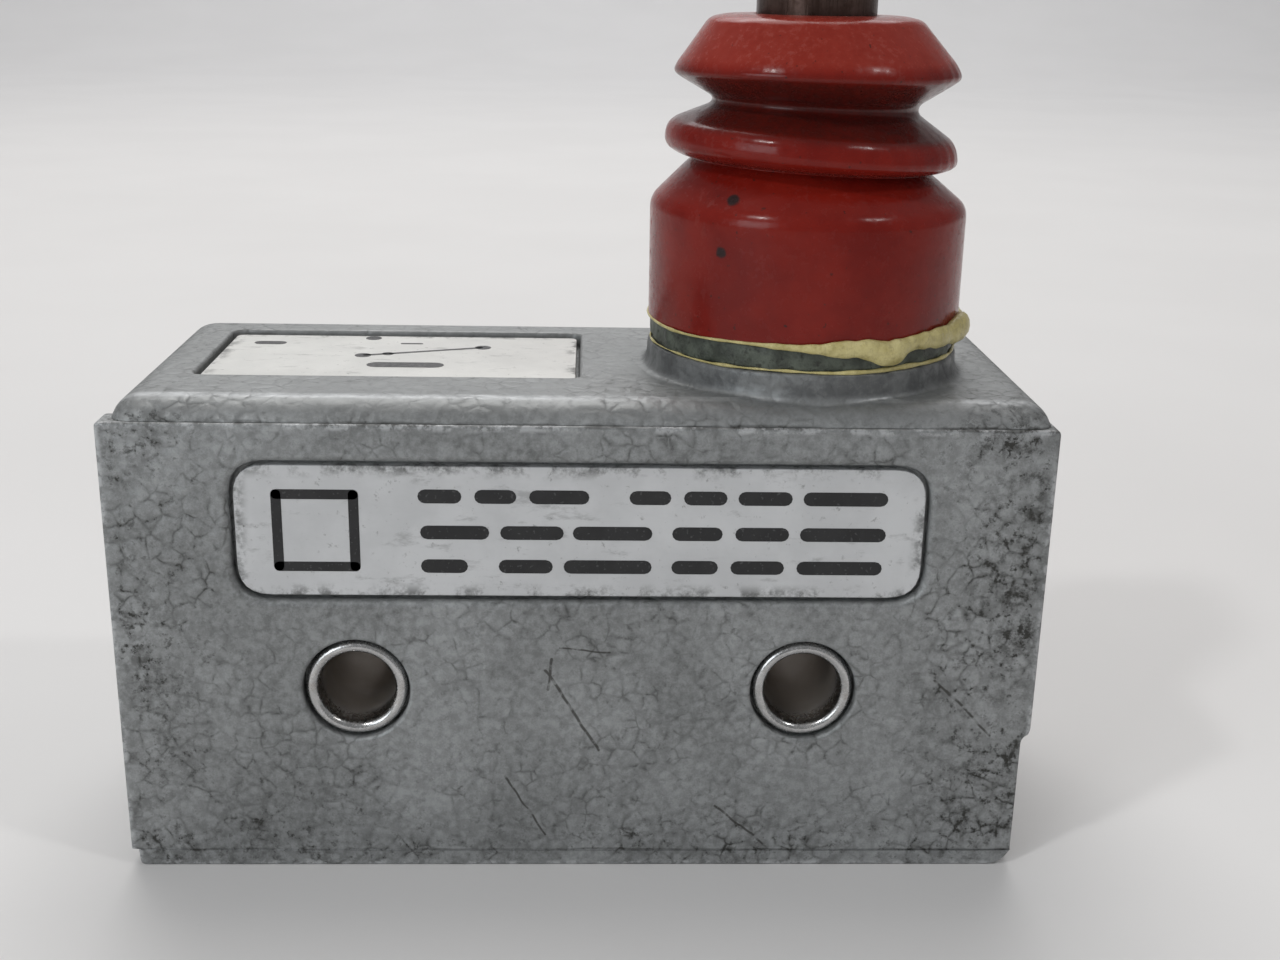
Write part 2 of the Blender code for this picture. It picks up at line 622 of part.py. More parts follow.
def build_bushing():
    """Guide bushing in the boss, its lower retaining ring, and the ring's groove."""
    neck_top = CEILING
    neck_bottom = CEILING - RING_THICKNESS - 2 * GAP
    profile = [
        (PLUNGER_RADIUS + GAP, BUSHING_TOP),
        (BUSHING_NECK, BUSHING_TOP),
        (BUSHING_NECK, BAND_BOTTOM + FLANGE_THICKNESS),
        (FLANGE_RADIUS, BAND_BOTTOM + FLANGE_THICKNESS),
        (FLANGE_RADIUS, BAND_BOTTOM),
        (BUSHING_RADIUS, BAND_BOTTOM),
        (BUSHING_RADIUS, neck_top),
        (BUSHING_NECK, neck_top),
        (BUSHING_NECK, neck_bottom),
        (BUSHING_RADIUS, neck_bottom),
        (BUSHING_RADIUS, BUSHING_BOTTOM),
        (COUNTERBORE, BUSHING_BOTTOM),
        (COUNTERBORE, COUNTERBORE_TOP),
        (PLUNGER_RADIUS + GAP, COUNTERBORE_TOP),
    ]
    bushing = place("plunger_bushing", lathe_mesh(profile, (PLUNGER_OFFSET, 0)), finish="brass",
                    origin=(PLUNGER_OFFSET, 0, BOSS_TOP))
    smooth(bushing)
    ring = [
        (BUSHING_NECK + GAP, neck_bottom + GAP),
        (BOSS_BORE + RETAINING_WIDTH, neck_bottom + GAP),
        (BOSS_BORE + RETAINING_WIDTH, neck_top - GAP),
        (BUSHING_NECK + GAP, neck_top - GAP),
    ]
    place("bushing_retaining_ring", lathe_mesh(ring, (PLUNGER_OFFSET, 0)), finish="spring_steel",
          origin=(PLUNGER_OFFSET, 0, neck_bottom + GAP))


def build_boot():
    """Red rubber boot with a skirt and two convolutions, its adhesive band and the sealant."""
    base = BOOT_BOTTOM
    groove = BOOT_GROOVE
    grip = PLUNGER_RADIUS + GAP
    outer = [
        (SKIRT_RADIUS, base),
        (SKIRT_RADIUS, base + SKIRT_HEIGHT),
        (SKIRT_RADIUS - 0.35, base + SKIRT_HEIGHT + 0.4),
        (groove + 0.9, base + 8.85),
        (groove + 2.1, base + 9.8),
        (groove + 2.25, base + 10.3),
        (groove + 2.0, base + 10.9),
        (groove, base + 12.3),
        (groove + 1.9, base + 13.8),
        (groove + 2.0, base + 14.2),
        (groove + 1.8, base + 14.6),
        (grip + 2.3, BOOT_TOP - 0.35),
        (grip + 1.75, BOOT_TOP),
    ]
    inner = [
        (grip, BOOT_TOP),
        (grip, BOOT_TOP - 0.9),
        (grip + 1.0, BOOT_TOP - 0.9),
        (groove + 1.9 - BOOT_WALL, base + 14.1),
        (groove - BOOT_WALL, base + 12.3),
        (groove + 2.1 - BOOT_WALL, base + 10.3),
        (groove + 0.9 - BOOT_WALL, base + 8.8),
        (SKIRT_INNER, base + SKIRT_HEIGHT - 0.2),
        (SKIRT_INNER, base),
    ]
    boot = place("boot", lathe_mesh(outer + inner, (PLUNGER_OFFSET, 0), 2, 40),
                 origin=(PLUNGER_OFFSET, 0, base), finish="rubber_red")
    smooth(boot)
    band_outer = BOSS_RADIUS - BAND_INSET
    band = [(FLANGE_RADIUS + GAP, BAND_BOTTOM), (band_outer, BAND_BOTTOM),
            (band_outer, BAND_BOTTOM + BAND_HEIGHT), (FLANGE_RADIUS + GAP, BAND_BOTTOM + BAND_HEIGHT)]
    ring = place("boot_adhesive_band", lathe_mesh(band, (PLUNGER_OFFSET, 0), 2, 40),
                 origin=(PLUNGER_OFFSET, 0, BAND_BOTTOM), finish="adhesive")
    smooth(ring)
    steps = 40
    path = []
    radii = []
    for step in range(steps + 1):
        share = step / steps
        angle = math.radians(-118 + 158 * share)
        swell = math.sin(math.pi * share)
        thick = 0.14 + 0.24 * swell + 0.03 * math.sin(9 * share * math.pi)
        reach = SKIRT_RADIUS + GAP + thick + 0.02
        path.append((PLUNGER_OFFSET + reach * math.cos(angle), reach * math.sin(angle),
                     BAND_BOTTOM + 0.55 + 0.2 * swell))
        radii.append(thick)
    bead = place("sealant_bead", sweep_mesh(path, radii, 8), finish="sealant")
    smooth(bead)


def build_plunger(slide):
    """Plunger pin with its bore and ring grooves, and the two rings on it."""
    dome = PLUNGER_DOME
    stop_groove = PLUNGER_RADIUS - RING_BITE
    profile = [
        (0, BORE_TOP),
        (PLUNGER_BORE, BORE_TOP),
        (PLUNGER_BORE, PLUNGER_BOTTOM),
        (PLUNGER_RADIUS - 0.2, PLUNGER_BOTTOM),
        (PLUNGER_RADIUS, PLUNGER_BOTTOM + 0.2),
        (PLUNGER_RADIUS, STOP_RING_BOTTOM - GAP),
        (stop_groove, STOP_RING_BOTTOM - GAP),
        (stop_groove, STOP_RING_TOP + GAP),
        (PLUNGER_RADIUS, STOP_RING_TOP + GAP),
        (PLUNGER_RADIUS, RETURN_RING_BOTTOM - GAP),
        (stop_groove, RETURN_RING_BOTTOM - GAP),
        (stop_groove, RETURN_RING_TOP + GAP),
        (PLUNGER_RADIUS, RETURN_RING_TOP + GAP),
        (PLUNGER_RADIUS, PLUNGER_TOP - dome),
        (PLUNGER_RADIUS - 0.25 * dome, PLUNGER_TOP - 0.4 * dome),
        (PLUNGER_RADIUS - dome, PLUNGER_TOP),
        (0, PLUNGER_TOP),
    ]
    plunger = place("plunger", lathe_mesh(profile, (PLUNGER_OFFSET, 0)), parent=slide,
                    origin=(PLUNGER_OFFSET, 0, PLUNGER_BOTTOM), finish="steel_dark")
    smooth(plunger)
    rings = (("plunger_stop_ring", STOP_RING_BOTTOM, STOP_RING_TOP),
             ("return_spring_ring", RETURN_RING_BOTTOM, RETURN_RING_TOP))
    for name, low, high in rings:
        section = [(stop_groove + GAP, low), (STOP_RING_RADIUS, low), (STOP_RING_RADIUS, high),
                   (stop_groove + GAP, high)]
        place(name, lathe_mesh(section, (PLUNGER_OFFSET, 0)), parent=slide,
              origin=(PLUNGER_OFFSET, 0, low), finish="spring_steel")


def build_springs(slide):
    """Return spring round the plunger and overtravel spring inside its bore."""
    centre = (PLUNGER_OFFSET, 0)
    place("return_spring", coil_mesh(RETURN_RADIUS, SPRING_WIRE, BUSHING_TOP + GAP,
                                     RETURN_RING_BOTTOM - GAP, SPRING_TURNS, centre),
          parent=slide, origin=(PLUNGER_OFFSET, 0, BUSHING_TOP + GAP), finish="spring_steel")
    radius = PLUNGER_BORE - GAP - 0.05 - OVERTRAVEL_WIRE / 2
    bottom = SEAT_BOTTOM + SEAT_FLANGE + GAP
    place("overtravel_spring", coil_mesh(radius, OVERTRAVEL_WIRE, bottom, BORE_TOP - GAP,
                                         OVERTRAVEL_TURNS, centre),
          parent=slide, origin=(PLUNGER_OFFSET, 0, bottom), finish="spring_steel")


def build_pin(pin_slide):
    """Switch pin and the overtravel spring seat that stands on it."""
    centre = (PLUNGER_OFFSET, 0)
    flange = PIN_RADIUS + 0.7
    flange_top = CHAMBER_TOP - GAP
    profile = [
        (0, PIN_BOTTOM),
        (PIN_RADIUS - 0.3, PIN_BOTTOM),
        (PIN_RADIUS, PIN_BOTTOM + 0.3),
        (PIN_RADIUS, flange_top - PIN_FLANGE),
        (flange, flange_top - PIN_FLANGE),
        (flange, flange_top),
        (PIN_RADIUS, flange_top),
        (PIN_RADIUS, PIN_TOP - 0.3),
        (PIN_RADIUS - 0.4, PIN_TOP),
        (0, PIN_TOP),
    ]
    pin = place("switch_pin", lathe_mesh(profile, centre, 2, 20), parent=pin_slide,
                origin=(PLUNGER_OFFSET, 0, PIN_BOTTOM), finish="phenolic")
    smooth(pin)
    seat_radius = PLUNGER_BORE - GAP
    shank_top = SEAT_BOTTOM + SEAT_FLANGE + SEAT_SHANK
    seat = [
        (0, SEAT_BOTTOM),
        (seat_radius, SEAT_BOTTOM),
        (seat_radius, SEAT_BOTTOM + SEAT_FLANGE),
        (SEAT_SHANK_RADIUS, SEAT_BOTTOM + SEAT_FLANGE),
        (SEAT_SHANK_RADIUS, shank_top - 0.3),
        (SEAT_SHANK_RADIUS - 0.3, shank_top),
        (0, shank_top),
    ]
    item = place("overtravel_seat", lathe_mesh(seat, centre, 2, 24), parent=pin_slide,
                 origin=(PLUNGER_OFFSET, 0, SEAT_BOTTOM), finish="brass")
    smooth(item)


def build_switch_case():
    """Moulded base with the contact chamber, and its front cover."""
    base = place("switch_base", box_mesh((-SWITCH_HALF, BASE_FRONT, SWITCH_BOTTOM),
                                         (SWITCH_HALF, BASE_BACK, SWITCH_TOP)), finish="phenolic")
    bevel(base, 0.4, 1)
    cut(base, box_mesh((-CHAMBER_HALF, BASE_FRONT - 2, CHAMBER_BOTTOM),
                       (CHAMBER_HALF, CHAMBER_BACK, CHAMBER_TOP)), "chamber")
    for side, hole in zip(("left", "right"), HOLES_X):
        join(base, cylinder_mesh(PILLAR_RADIUS, BASE_FRONT, CHAMBER_BACK + 0.4,
                                 (hole, HOLE_HEIGHT), 1, 24), "base_pillar_" + side)
    for side, hole in zip(("left", "right"), HOLES_X):
        cut(base, cylinder_mesh(HOLE_RADIUS, BASE_FRONT - 2, BASE_BACK + 2, (hole, HOLE_HEIGHT),
                                1, 24), "base_hole_" + side)
    cut(base, cylinder_mesh(PIN_RADIUS + GAP, CHAMBER_TOP - 1, SWITCH_TOP + 1,
                            (PLUNGER_OFFSET, 0), 2, 24), "pin_hole")
    half_thick = TERMINAL_THICKNESS / 2 + GAP
    half_wide = TERMINAL_WIDTH / 2 + GAP
    for name, riser in riser_positions():
        cut(base, box_mesh((riser - half_thick, -half_wide, SWITCH_BOTTOM - 1),
                           (riser + half_thick, half_wide, CHAMBER_BOTTOM + 1)), "slot_" + name)
    cover = place("switch_base_cover",
                  box_mesh((-SWITCH_HALF, SWITCH_COVER_FRONT, SWITCH_BOTTOM),
                           (SWITCH_HALF, SWITCH_COVER_FRONT + SWITCH_COVER_THICKNESS, SWITCH_TOP)),
                  finish="phenolic")
    bevel(cover, 0.3, 1)
    for side, hole in zip(("left", "right"), HOLES_X):
        cut(cover, cylinder_mesh(HOLE_RADIUS, SWITCH_COVER_FRONT - 2, BASE_FRONT + 2,
                                 (hole, HOLE_HEIGHT), 1, 24), "switch_cover_hole_" + side)


def riser_positions():
    """X of each terminal's upright strip: common under the pivot, the other two at the contacts."""
    blade_tip = CONTACT_X - CONTACT_RADIUS - 0.4
    half = TERMINAL_THICKNESS / 2
    return (("common", PIVOT_X), ("nc", CONTACT_X), ("no", blade_tip - GAP - 0.1 - half))


def build_terminal_screw(name, lug_x, lug_front, lug_back):
    """Slotted screw and washer on the front of one terminal lug."""
    washer_back = lug_front - GAP
    washer_front = washer_back - WASHER_THICKNESS
    washer = [(SCREW_RADIUS + GAP, washer_back), (SCREW_HEAD_RADIUS, washer_back),
              (SCREW_HEAD_RADIUS, washer_front), (SCREW_RADIUS + GAP, washer_front)]
    place("terminal_washer_" + name, lathe_mesh(washer, (lug_x, LUG_Z), 1, 20),
          origin=(lug_x, washer_back, LUG_Z), finish="steel_bright")
    head_back = washer_front - GAP
    head_front = head_back - SCREW_HEAD_HEIGHT
    profile = [(0, head_front), (SCREW_HEAD_RADIUS - 0.4, head_front),
               (SCREW_HEAD_RADIUS, head_front + 0.5), (SCREW_HEAD_RADIUS, head_back),
               (SCREW_RADIUS, head_back), (SCREW_RADIUS, lug_back + SCREW_REACH),
               (0, lug_back + SCREW_REACH)]
    screw = place("terminal_screw_" + name, lathe_mesh(profile, (lug_x, LUG_Z), 1, 20),
                  origin=(lug_x, head_back, LUG_Z), finish="steel_bright")
    cut(screw, box_mesh((lug_x - 2.5, head_front - 1, LUG_Z - 0.25),
                        (lug_x + 2.5, head_front + 0.45, LUG_Z + 0.25)), name + "_screw_slot")
    smooth(screw)


def build_terminals():
    """Three terminals with their fixed contacts, screws and washers, and the blade anchor."""
    half = TERMINAL_THICKNESS / 2
    wide = TERMINAL_WIDTH / 2
    risers = dict(riser_positions())
    tops = {"common": CHAMBER_BOTTOM + 1.5, "nc": NC_SHELF_TOP, "no": NO_SHELF_TOP}
    ways = {"common": 1, "nc": 1, "no": -1}
    shelf_start = {"nc": CONTACT_X - CONTACT_RADIUS, "no": risers["no"] - half}
    for name, riser in risers.items():
        strip = place(name + "_terminal", box_mesh((riser - half, -wide, LUG_TOP - 0.6),
                                                   (riser + half, wide, tops[name])), finish="brass")
        near = riser - ways[name] * half
        far = near + ways[name] * LUG_LENGTH
        join(strip, box_mesh((min(near, far), -half, LUG_BOTTOM), (max(near, far), half, LUG_TOP)),
             name + "_lug")
        if name in shelf_start:
            join(strip, box_mesh((shelf_start[name], -wide + 0.1, tops[name] - TERMINAL_THICKNESS),
                                 (CONTACT_X + CONTACT_RADIUS, wide - 0.1, tops[name])),
                 name + "_shelf")
        lug_x = (near + far) / 2 + ways[name] * LUG_HOLE_SHIFT
        cut(strip, cylinder_mesh(SCREW_RADIUS + GAP, -half - 2, half + 2, (lug_x, LUG_Z), 1, 20),
            name + "_screw_hole")
        build_terminal_screw(name, lug_x, -half, half)
    contacts = (("nc_contact", NC_CONTACT_BOTTOM, NC_CONTACT_TOP),
                ("no_contact", NO_CONTACT_BOTTOM, NO_CONTACT_TOP))
    for name, low, high in contacts:
        item = place(name, cylinder_mesh(CONTACT_RADIUS, low, high, (CONTACT_X, 0), 2, 24),
                     origin=(CONTACT_X, 0, low), finish="silver")
        smooth(item)
    edge = BLADE_BOTTOM - GAP
    foot = tops["common"] + GAP
    outline = [(PIVOT_X - 0.8, foot), (PIVOT_X + 0.8, foot), (PIVOT_X + 0.8, edge - 1.0),
               (PIVOT_X + 0.15, edge), (PIVOT_X - 0.15, edge), (PIVOT_X - 0.8, edge - 1.0)]
    place("blade_anchor", prism_mesh(outline, 1, -wide, wide), finish="brass")


def build_blade(hinge):
    """Contact blade on its pivot, with the moving contact and the snap spring."""
    tip = CONTACT_X - CONTACT_RADIUS - 0.4
    tail = PLUNGER_OFFSET + BLADE_TAIL
    half = BLADE_WIDTH / 2
    outline = rounded_outline((tip, -half), (tail, half), (0.6,) * 4, 3)
    blade = place("contact_blade", prism_mesh(outline, 2, BLADE_BOTTOM, BLADE_TOP), parent=hinge,
                  origin=(PIVOT_X, 0, BLADE_Z), finish="bronze")
    cut(blade, cylinder_mesh(RIVET_SHANK + GAP, BLADE_BOTTOM - 1, BLADE_TOP + 1, (CONTACT_X, 0),
                             2, 20), "rivet_hole")
    cut(blade, box_mesh((PIVOT_X - 8.0, -0.75, BLADE_BOTTOM - 1),
                        (PIVOT_X - 1.8, 0.75, BLADE_TOP + 1)), "blade_window")
    profile = [(0, RIVET_BOTTOM), (CONTACT_RADIUS, RIVET_BOTTOM),
               (CONTACT_RADIUS, RIVET_BOTTOM + RIVET_HEAD), (RIVET_SHANK, RIVET_BOTTOM + RIVET_HEAD),
               (RIVET_SHANK, RIVET_TOP - RIVET_HEAD), (CONTACT_RADIUS, RIVET_TOP - RIVET_HEAD),
               (CONTACT_RADIUS, RIVET_TOP), (0, RIVET_TOP)]
    rivet = place("moving_contact", lathe_mesh(profile, (CONTACT_X, 0), 2, 24), parent=hinge,
                  origin=(CONTACT_X, 0, BLADE_Z), finish="silver")
    smooth(rivet)
    thick = 0.25
    span = 5.6
    middle = PIVOT_X - 4.9
    sag = 2.2
    top = BLADE_BOTTOM - GAP
    upper = []
    lower = []
    for step in range(13):
        share = step / 12
        x = middle - span / 2 + span * share
        z = top - thick - sag * math.sin(math.pi * share)
        upper.append((x, z + thick))
        lower.append((x, z))
    place("snap_spring", prism_mesh(upper + lower[::-1], 1, -0.6, 0.6), parent=hinge,
          origin=(middle, 0, top), finish="bronze")


def build_liner():
    """Insulating sheet between the basic switch and the housing back."""
    back = BODY_BACK_INNER - GAP
    front = back - LINER_THICKNESS
    liner = place("insulating_liner", box_mesh((-SWITCH_HALF, front, COVER_BOTTOM + GAP),
                                               (SWITCH_HALF, back, SWITCH_TOP)), finish="fibre")
    for side, hole in zip(("left", "right"), HOLES_X):
        cut(liner, cylinder_mesh(PILLAR_RADIUS + GAP, front - 1, back + 1, (hole, HOLE_HEIGHT),
                                 1, 24), "liner_hole_" + side)
    return liner


def main():
    """Build every piece."""
    clear_scene()
    slide = empty("plunger_axis", (PLUNGER_OFFSET, 0, PLUNGER_BOTTOM))
    pin_slide = empty("pin_axis", (PLUNGER_OFFSET, 0, PIN_BOTTOM))
    hinge = empty("blade_axis", (PIVOT_X, 0, BLADE_Z))
    build_housing()
    build_bottom_plate()
    build_front_cover()
    build_gasket()
    build_labels()
    build_eyelets()
    build_lead_entry()
    build_bushing()
    build_boot()
    build_plunger(slide)
    build_springs(slide)
    build_pin(pin_slide)
    build_switch_case()
    build_terminals()
    build_blade(hinge)
    build_liner()
    bpy.context.view_layer.update()


main()
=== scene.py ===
"""Enclosed limit switch with a rubber-booted plunger: the finished look of every piece.

All lengths are millimetres in the case frame and become metres when a mesh is made. X runs along the
case with the plunger on the +X side, -Y is the labelled front and +Z is up. The origin is on the table,
midway between the two mounting eyelets.
"""

import functools
import json
import logging
import math
from dataclasses import dataclass
from enum import Enum
from typing import Any

import bmesh
import bpy
import numpy as np
from mathutils import Matrix

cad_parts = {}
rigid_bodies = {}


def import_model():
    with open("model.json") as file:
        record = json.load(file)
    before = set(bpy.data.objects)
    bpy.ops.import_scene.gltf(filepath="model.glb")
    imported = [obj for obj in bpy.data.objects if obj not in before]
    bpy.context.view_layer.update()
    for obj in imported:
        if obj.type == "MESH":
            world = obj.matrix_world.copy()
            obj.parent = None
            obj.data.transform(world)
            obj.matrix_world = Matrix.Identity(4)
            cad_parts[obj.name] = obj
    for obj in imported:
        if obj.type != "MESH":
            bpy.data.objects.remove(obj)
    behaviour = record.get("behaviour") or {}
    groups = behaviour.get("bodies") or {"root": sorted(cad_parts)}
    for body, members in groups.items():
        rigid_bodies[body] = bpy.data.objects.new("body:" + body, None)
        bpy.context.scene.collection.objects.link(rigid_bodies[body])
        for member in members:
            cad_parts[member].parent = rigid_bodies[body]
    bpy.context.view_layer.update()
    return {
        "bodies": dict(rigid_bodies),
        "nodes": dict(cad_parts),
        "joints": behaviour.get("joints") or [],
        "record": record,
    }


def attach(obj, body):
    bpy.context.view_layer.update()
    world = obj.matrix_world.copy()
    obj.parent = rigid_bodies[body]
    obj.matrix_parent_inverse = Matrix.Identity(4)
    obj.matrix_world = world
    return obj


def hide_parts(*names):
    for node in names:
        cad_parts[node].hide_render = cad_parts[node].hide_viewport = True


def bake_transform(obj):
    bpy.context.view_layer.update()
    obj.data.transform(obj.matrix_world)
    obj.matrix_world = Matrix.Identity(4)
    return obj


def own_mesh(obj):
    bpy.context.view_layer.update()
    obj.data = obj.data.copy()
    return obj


MM = 0.001
Array = np.ndarray
Piece = bpy.types.Object
Colour = tuple[float, float, float]
LOG = logging.getLogger("limit_switch")


# ---------------------------------------------------------------------------------------------
# Shapes
# ---------------------------------------------------------------------------------------------
class Axis(Enum):
    """The case axis that a round or straight piece follows."""

    X = 0
    Y = 1
    Z = 2

    def stack(self, first: Array, second: Array, along: Array) -> Array:
        """Put the two cross values and the value along the axis in case order.

        Args:
            first: values on the lower of the other two axes.
            second: values on the higher of the other two axes.
            along: values on this axis.

        Returns:
            Points with X, Y and Z last.
        """
        parts = list(np.broadcast_arrays(first, second, along))
        parts.insert(self.value, parts.pop(2))
        return np.stack(parts, axis=-1)


def smoothstep(value: Array, low: float, high: float) -> Array:
    """Rise from 0 at low to 1 at high as 3t^2 - 2t^3.

    Args:
        value: where to read the curve.
        low: where it starts.
        high: where it ends.

    Returns:
        The curve at each value.
    """
    share = np.clip((value - low) / (high - low), 0.0, 1.0)
    return share * share * (3.0 - 2.0 * share)


def rounded(corners: list[tuple[float, float, float]], steps: int = 7, closed: bool = True) -> Array:
    """Round the corners of a line of (first, second, reach) points.

    Each corner C becomes the curve (1-t)^2 A + 2t(1-t) C + t^2 B. A and B lie on its two sides at
    `reach` from C, and never past the middle of a side.

    Args:
        corners: the corner points, each with its reach.
        steps: points on each rounded corner.
        closed: whether the last corner joins the first.

    Returns:
        The rounded line, without repeated points.
    """
    table = np.array(corners, float)
    point, reach = table[:, :2], table[:, 2:]
    before, after = np.roll(point, 1, axis=0) - point, np.roll(point, -1, axis=0) - point
    ends = []
    for side in (before, after):
        length = np.linalg.norm(side, axis=1, keepdims=True)
        ends.append(point + side / length * np.minimum(reach, 0.49 * length))
    if not closed:
        ends[0][[0, -1]] = point[[0, -1]]
        ends[1][[0, -1]] = point[[0, -1]]
    t = np.linspace(0.0, 1.0, steps)[None, :, None]
    curve = (1 - t) ** 2 * ends[0][:, None] + 2 * t * (1 - t) * point[:, None] + t**2 * ends[1][:, None]
    line = curve.reshape(-1, 2)
    keep = np.linalg.norm(line - np.roll(line, 1, axis=0), axis=1) > 1e-6
    keep[0] = keep[0] or not closed
    return line[keep]


def box_outline(low: tuple[float, float], high: tuple[float, float], reach: float) -> Array:
    """Outline of a rectangle between two corners, every corner rounded by the same reach."""
    return rounded([(low[0], low[1], reach), (high[0], low[1], reach),
                    (high[0], high[1], reach), (low[0], high[1], reach)])


def offset(outline: Array, distance: Array) -> Array:
    """Move a closed outline sideways, keeping its straight sides straight.

    A point moves by d (n1 + n2) / (1 + n1 . n2), where n1 and n2 are the outward normals of its
    two sides.

    Args:
        outline: anticlockwise points.
        distance: how far out each copy goes.

    Returns:
        One moved outline for each distance.
    """
    side = np.roll(outline, -1, axis=0) - outline
    normal = np.stack([side[:, 1], -side[:, 0]], axis=1)
    normal /= np.linalg.norm(normal, axis=1, keepdims=True)
    earlier = np.roll(normal, 1, axis=0)
    mitre = (normal + earlier) / (1.0 + np.sum(normal * earlier, axis=1, keepdims=True))
    return outline[None] + np.asarray(distance, float)[:, None, None] * mitre[None]


def edge_stations(low: float, high: float, low_round: float, high_round: float,
                  steps: int = 6) -> tuple[Array, Array]:
    """Insets and heights of a solid whose two end edges are rounded.

    A quarter round of radius r has the inset r (1 - sin a) at the height r (1 - cos a).

    Args:
        low: the lower end.
        high: the upper end.
        low_round: radius at the lower end.
        high_round: radius at the upper end.
        steps: stations on each quarter round.

    Returns:
        The offsets, none above zero, and the heights.
    """
    turn = np.linspace(0.0, math.pi / 2, steps)
    inset, rise = 1.0 - np.sin(turn), 1.0 - np.cos(turn)
    offsets = np.concatenate([-low_round * inset, -high_round * inset[::-1]])
    heights = np.concatenate([low + low_round * rise, high - high_round * rise[::-1]])
    return offsets, heights


def prism(outline: Array, offsets: Array, heights: Array, axis: Axis) -> Array:
    """Carry an outline along an axis, moved sideways at each height by its offset."""
    rings = offset(outline, offsets)
    return axis.stack(rings[..., 0], rings[..., 1], np.asarray(heights, float)[:, None])


def slab(name: str, outline: Array, low: float, high: float, axis: Axis,
         low_round: float = 0.0, high_round: float = 0.0, steps: int = 0) -> Piece:
    """Solid of one outline between two heights.

    Args:
        name: the piece's name.
        outline: anticlockwise points across the axis.
        low: the lower end.
        high: the upper end.
        axis: the direction that the outline is carried in.
        low_round: radius of the lower end's edge.
        high_round: radius of the upper end's edge.
        steps: stations on each rounded edge, or 0 where both edges are sharp.

    Returns:
        The new solid.
    """
    sharp = (np.zeros(2), np.array([low, high]))
    offsets, heights = edge_stations(low, high, low_round, high_round, steps) if steps else sharp
    return skin(name, prism(outline, offsets, heights, axis), caps=True)


def polar(grid: Array, x: float) -> tuple[Array, Array]:
    """Angle and radius of each point about the upright axis at (x, 0)."""
    across = grid[..., 0] - x
    return np.arctan2(grid[..., 1], across), np.hypot(grid[..., 1], across)


def around(x: float, angle: Array, radius: Array, height: Array) -> Array:
    """Points at an angle, a radius and a height about the upright axis at (x, 0)."""
    return np.stack([x + radius * np.cos(angle), radius * np.sin(angle), height], axis=-1)


def turned(profile: Array, centre: tuple[float, float], axis: Axis = Axis.Z, steps: int = 96) -> Array:
    """Turn a (radius, height) profile: centre + radius (cos a, sin a) across the axis.

    Args:
        profile: radius and height of each point.
        centre: the axis, in the other two coordinates.
        axis: the direction of the axis.
        steps: points round the axis.

    Returns:
        A grid with one row for each profile point.
    """
    angle = np.arange(steps) * (2 * math.pi / steps)
    radius, height = profile[:, :1], profile[:, 1:]
    return axis.stack(centre[0] + radius * np.cos(angle), centre[1] + radius * np.sin(angle), height)


def tube(path: Array, half_wide: Array, half_tall: Array, sides: int = 12, closed: bool = False) -> Array:
    """Carry an ellipse along a path: P + w cos a S + h sin a U, with S level and U square to the path.

    Args:
        path: points of the centre line.
        half_wide: half width at each point.
        half_tall: half height at each point.
        sides: points round the ellipse.
        closed: whether the path closes on itself.

    Returns:
        A grid with one row for each path point.
    """
    if closed:
        forward = np.roll(path, -1, axis=0) - np.roll(path, 1, axis=0)
    else:
        forward = np.gradient(path, axis=0)
    forward /= np.linalg.norm(forward, axis=1, keepdims=True)
    side = np.cross(forward, (0.0, 0.0, 1.0))
    side /= np.linalg.norm(side, axis=1, keepdims=True)
    upward = np.cross(side, forward)
    angle = np.arange(sides) * (2 * math.pi / sides)
    wide = np.asarray(half_wide)[:, None, None] * np.cos(angle)[None, :, None] * side[:, None]
    tall = np.asarray(half_tall)[:, None, None] * np.sin(angle)[None, :, None] * upward[:, None]
    return path[:, None] + wide + tall


def skin(name: str, grid: Array, around: bool = True, along: bool = False, caps: bool = False) -> Piece:
    """Make an object whose skin is a grid of points.

    Point (i, j) is joined to (i + 1, j) and (i, j + 1). Points in the same place are merged, which
    closes seams and poles, and the faces are turned outwards.

    Args:
        name: the piece's name.
        grid: rows of points.
        around: whether each row closes on itself.
        along: whether the last row joins the first.
        caps: whether the first and last rows are filled.

    Returns:
        The new object, at the origin.
    """
    rows, columns = grid.shape[:2]
    index = np.arange(rows * columns).reshape(rows, columns)
    near = index if along else index[:-1]
    far = np.roll(index, -1, axis=0) if along else index[1:]
    corners = [near, far, np.roll(far, -1, axis=1), np.roll(near, -1, axis=1)]
    if not around:
        corners = [part[:, :-1] for part in corners]
    faces = np.stack(corners, axis=-1).reshape(-1, 4).tolist()
    if caps:
        faces += [index[0].tolist(), index[-1].tolist()]
    mesh = bpy.data.meshes.new(name)
    mesh.from_pydata((grid.reshape(-1, 3) * MM).tolist(), [], faces)
    data = bmesh.new()
    data.from_mesh(mesh)
    bmesh.ops.remove_doubles(data, verts=data.verts, dist=2e-7)
    bmesh.ops.dissolve_degenerate(data, edges=data.edges, dist=1e-8)
    bmesh.ops.recalc_face_normals(data, faces=data.faces)
    data.to_mesh(mesh)
    data.free()
    item = bpy.data.objects.new(name, mesh)
    bpy.context.scene.collection.objects.link(item)
    return item


